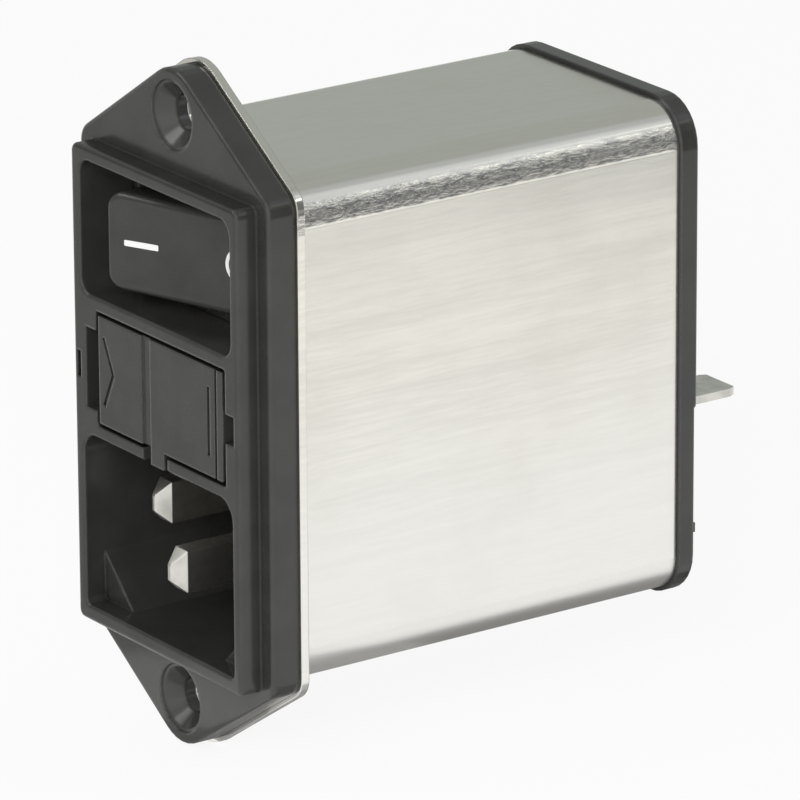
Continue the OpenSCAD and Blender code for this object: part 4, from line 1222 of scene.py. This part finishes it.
@dataclass
class Studio:
    """Pale floor, soft lamps, cards for the metal to mirror, among them two painted shadows on the floor, and the
    camera.
    """

    cards: tuple[Card, ...] = (
        WallCard("card_back", (45, 206), 0.42, (0, 86), tint=GREENISH),
        WallCard("card_right_top", (-14, 46), 0.27, (29, 86), 890, tint=COOL),
        WallCard("card_glow", (44, 60), 0.8, (40, 51), 880, tint=COOL),
        WallCard("card_glow_top", (44, 78), 0.55, (44, 57), 890, tint=COOL),
        WallCard("card_right", (-14, 46), 0.19, (-1, 30), 880, tint=COOL),
        WallCard("card_ceiling", (206, 346), 0.45, (58, 86), 920),
        FloorCard("card_floor_back", (-14, 75), 0.12, (225, 860)),
        WallCard("card_front", (206, 275), 0.12, (-1.5, 35)),
        WallCard("card_softbox", (280, 342), 1.1, (4, 46)),
        FloorCard("card_floor_front", (196, 272), 0.55, (25, 700)),
        # Two painted shadows: darker cards on the floor under and beside the part, seen only in reflections, stand
        # in for its shadow there.
        FloorCard("card_floor_under", (25, 155), 0.45, (0, 30), (0, -8)),
        FloorCard("card_floor_side", (-5, 5), 0.24, (384, 418), (-400, 32)),
    )
    lamps: tuple[Lamp, ...] = (
        Lamp("lamp_key", 700, 236, 47, (420, 150), 0.09),
        Lamp("lamp_fill", 900, 312, 25, (560, 480), 0.78, mirrored=False),
        Lamp("lamp_strip", 700, 43, 37, (420, 60), 0.034),
    )
    azimuth_deg: float = 55.06
    elevation_deg: float = 18.70
    roll_deg: float = -0.30
    distance: float = 700.9
    aim: Triple = (11.13, 13.08, 0.73)
    focal_px: float = 7840.0
    image_px: float = 800.0
    sensor: float = 36.0
    clip_m: Span = (0.01, 20.0)
    floor_half: float = 3000.0
    floor_steps: int = 5
    floor_colour: Colour = (0.9, 0.9, 0.9)
    world_level: float = 0.42
    backdrop_share: float = 0.9
    seeing_rays: tuple[str, ...] = ("Is Camera Ray", "Is Glossy Ray", "Is Transmission Ray")

    def build(self) -> None:
        """Sets up everything that isn't the object."""
        bpy.context.scene.view_settings.view_transform = "Standard"
        self.light_world()
        self.lay_floor()
        for item in (*self.cards, *self.lamps):
            item.build()
        self.place_camera()

    def light_world(self) -> None:
        """An even pale room, which is plain white to the camera and in reflections."""
        world = bpy.data.worlds.new("pale_room")
        bpy.context.scene.world = world
        world.use_nodes = True
        graph = Graph(world.node_tree)
        strength = self.world_level + (1 - self.world_level) * self.seen(graph)
        light = graph.node("ShaderNodeBackground", None, {"Color": WHITE, "Strength": strength})
        graph.node("ShaderNodeOutputWorld", None, {"Surface": light})

    def seen(self, graph: Graph) -> Term:
        """Finds the rays that show a surface: from the camera, a mirror or through glass.

        Args:
            graph: the floor's or the world's shader graph.

        Returns:
            1 for these rays and 0 for others.
        """
        path = graph.node("ShaderNodeLightPath").socket.node.outputs
        camera, mirror, glass = (Term(graph, path[name]) for name in self.seeing_rays)
        return camera.at_least(mirror).at_least(glass)

    def lay_floor(self) -> None:
        """A wide pale floor under the part, mostly white to the camera, which keeps the part's shadow."""
        span = np.linspace(-self.floor_half, self.floor_half, self.floor_steps) * MM
        x, y = np.meshgrid(span, span)
        floor = open_sheet("pale_floor", np.stack([x, y, np.full_like(x, cad_box[0].z)], axis=-1))
        graph = Graph(fresh_material(floor).node_tree)
        matte = graph.node("ShaderNodeBsdfDiffuse", None, {"Color": self.floor_colour})
        white = graph.node("ShaderNodeEmission", None, {"Color": WHITE, "Strength": 1.0})
        factor = self.backdrop_share * self.seen(graph)
        mixed = graph.node("ShaderNodeMixShader", None, {0: factor, 1: matte, 2: white})
        graph.node("ShaderNodeOutputMaterial", None, {"Surface": mixed})

    def place_camera(self) -> None:
        """Puts the camera at the photograph's viewing angle."""
        back = facing(self.azimuth_deg - 90, self.elevation_deg)
        level_right = facing(self.azimuth_deg, 0)
        roll = math.radians(self.roll_deg)
        right = math.cos(roll) * level_right + math.sin(roll) * back.cross(level_right)
        turned = Matrix((right, back.cross(right), back)).transposed().to_4x4()
        data = bpy.data.cameras.new("camera")
        data.sensor_width = self.sensor
        data.lens = self.focal_px * self.sensor / self.image_px
        data.clip_start, data.clip_end = self.clip_m
        camera = linked("camera", data)
        camera.matrix_world = Matrix.Translation((Vector(self.aim) + back * self.distance) * MM) @ turned
        bpy.context.scene.camera = camera


def main() -> None:
    """Dresses the part, builds the new pieces and sets up the studio."""
    logging.basicConfig(level=logging.INFO, format="%(name)s: %(message)s")
    Dressing().dress()
    ConnectorPins().build()
    RockerSwitch().build()
    CanBend().build()
    Studio().build()


if __name__ == "__main__":
    main()
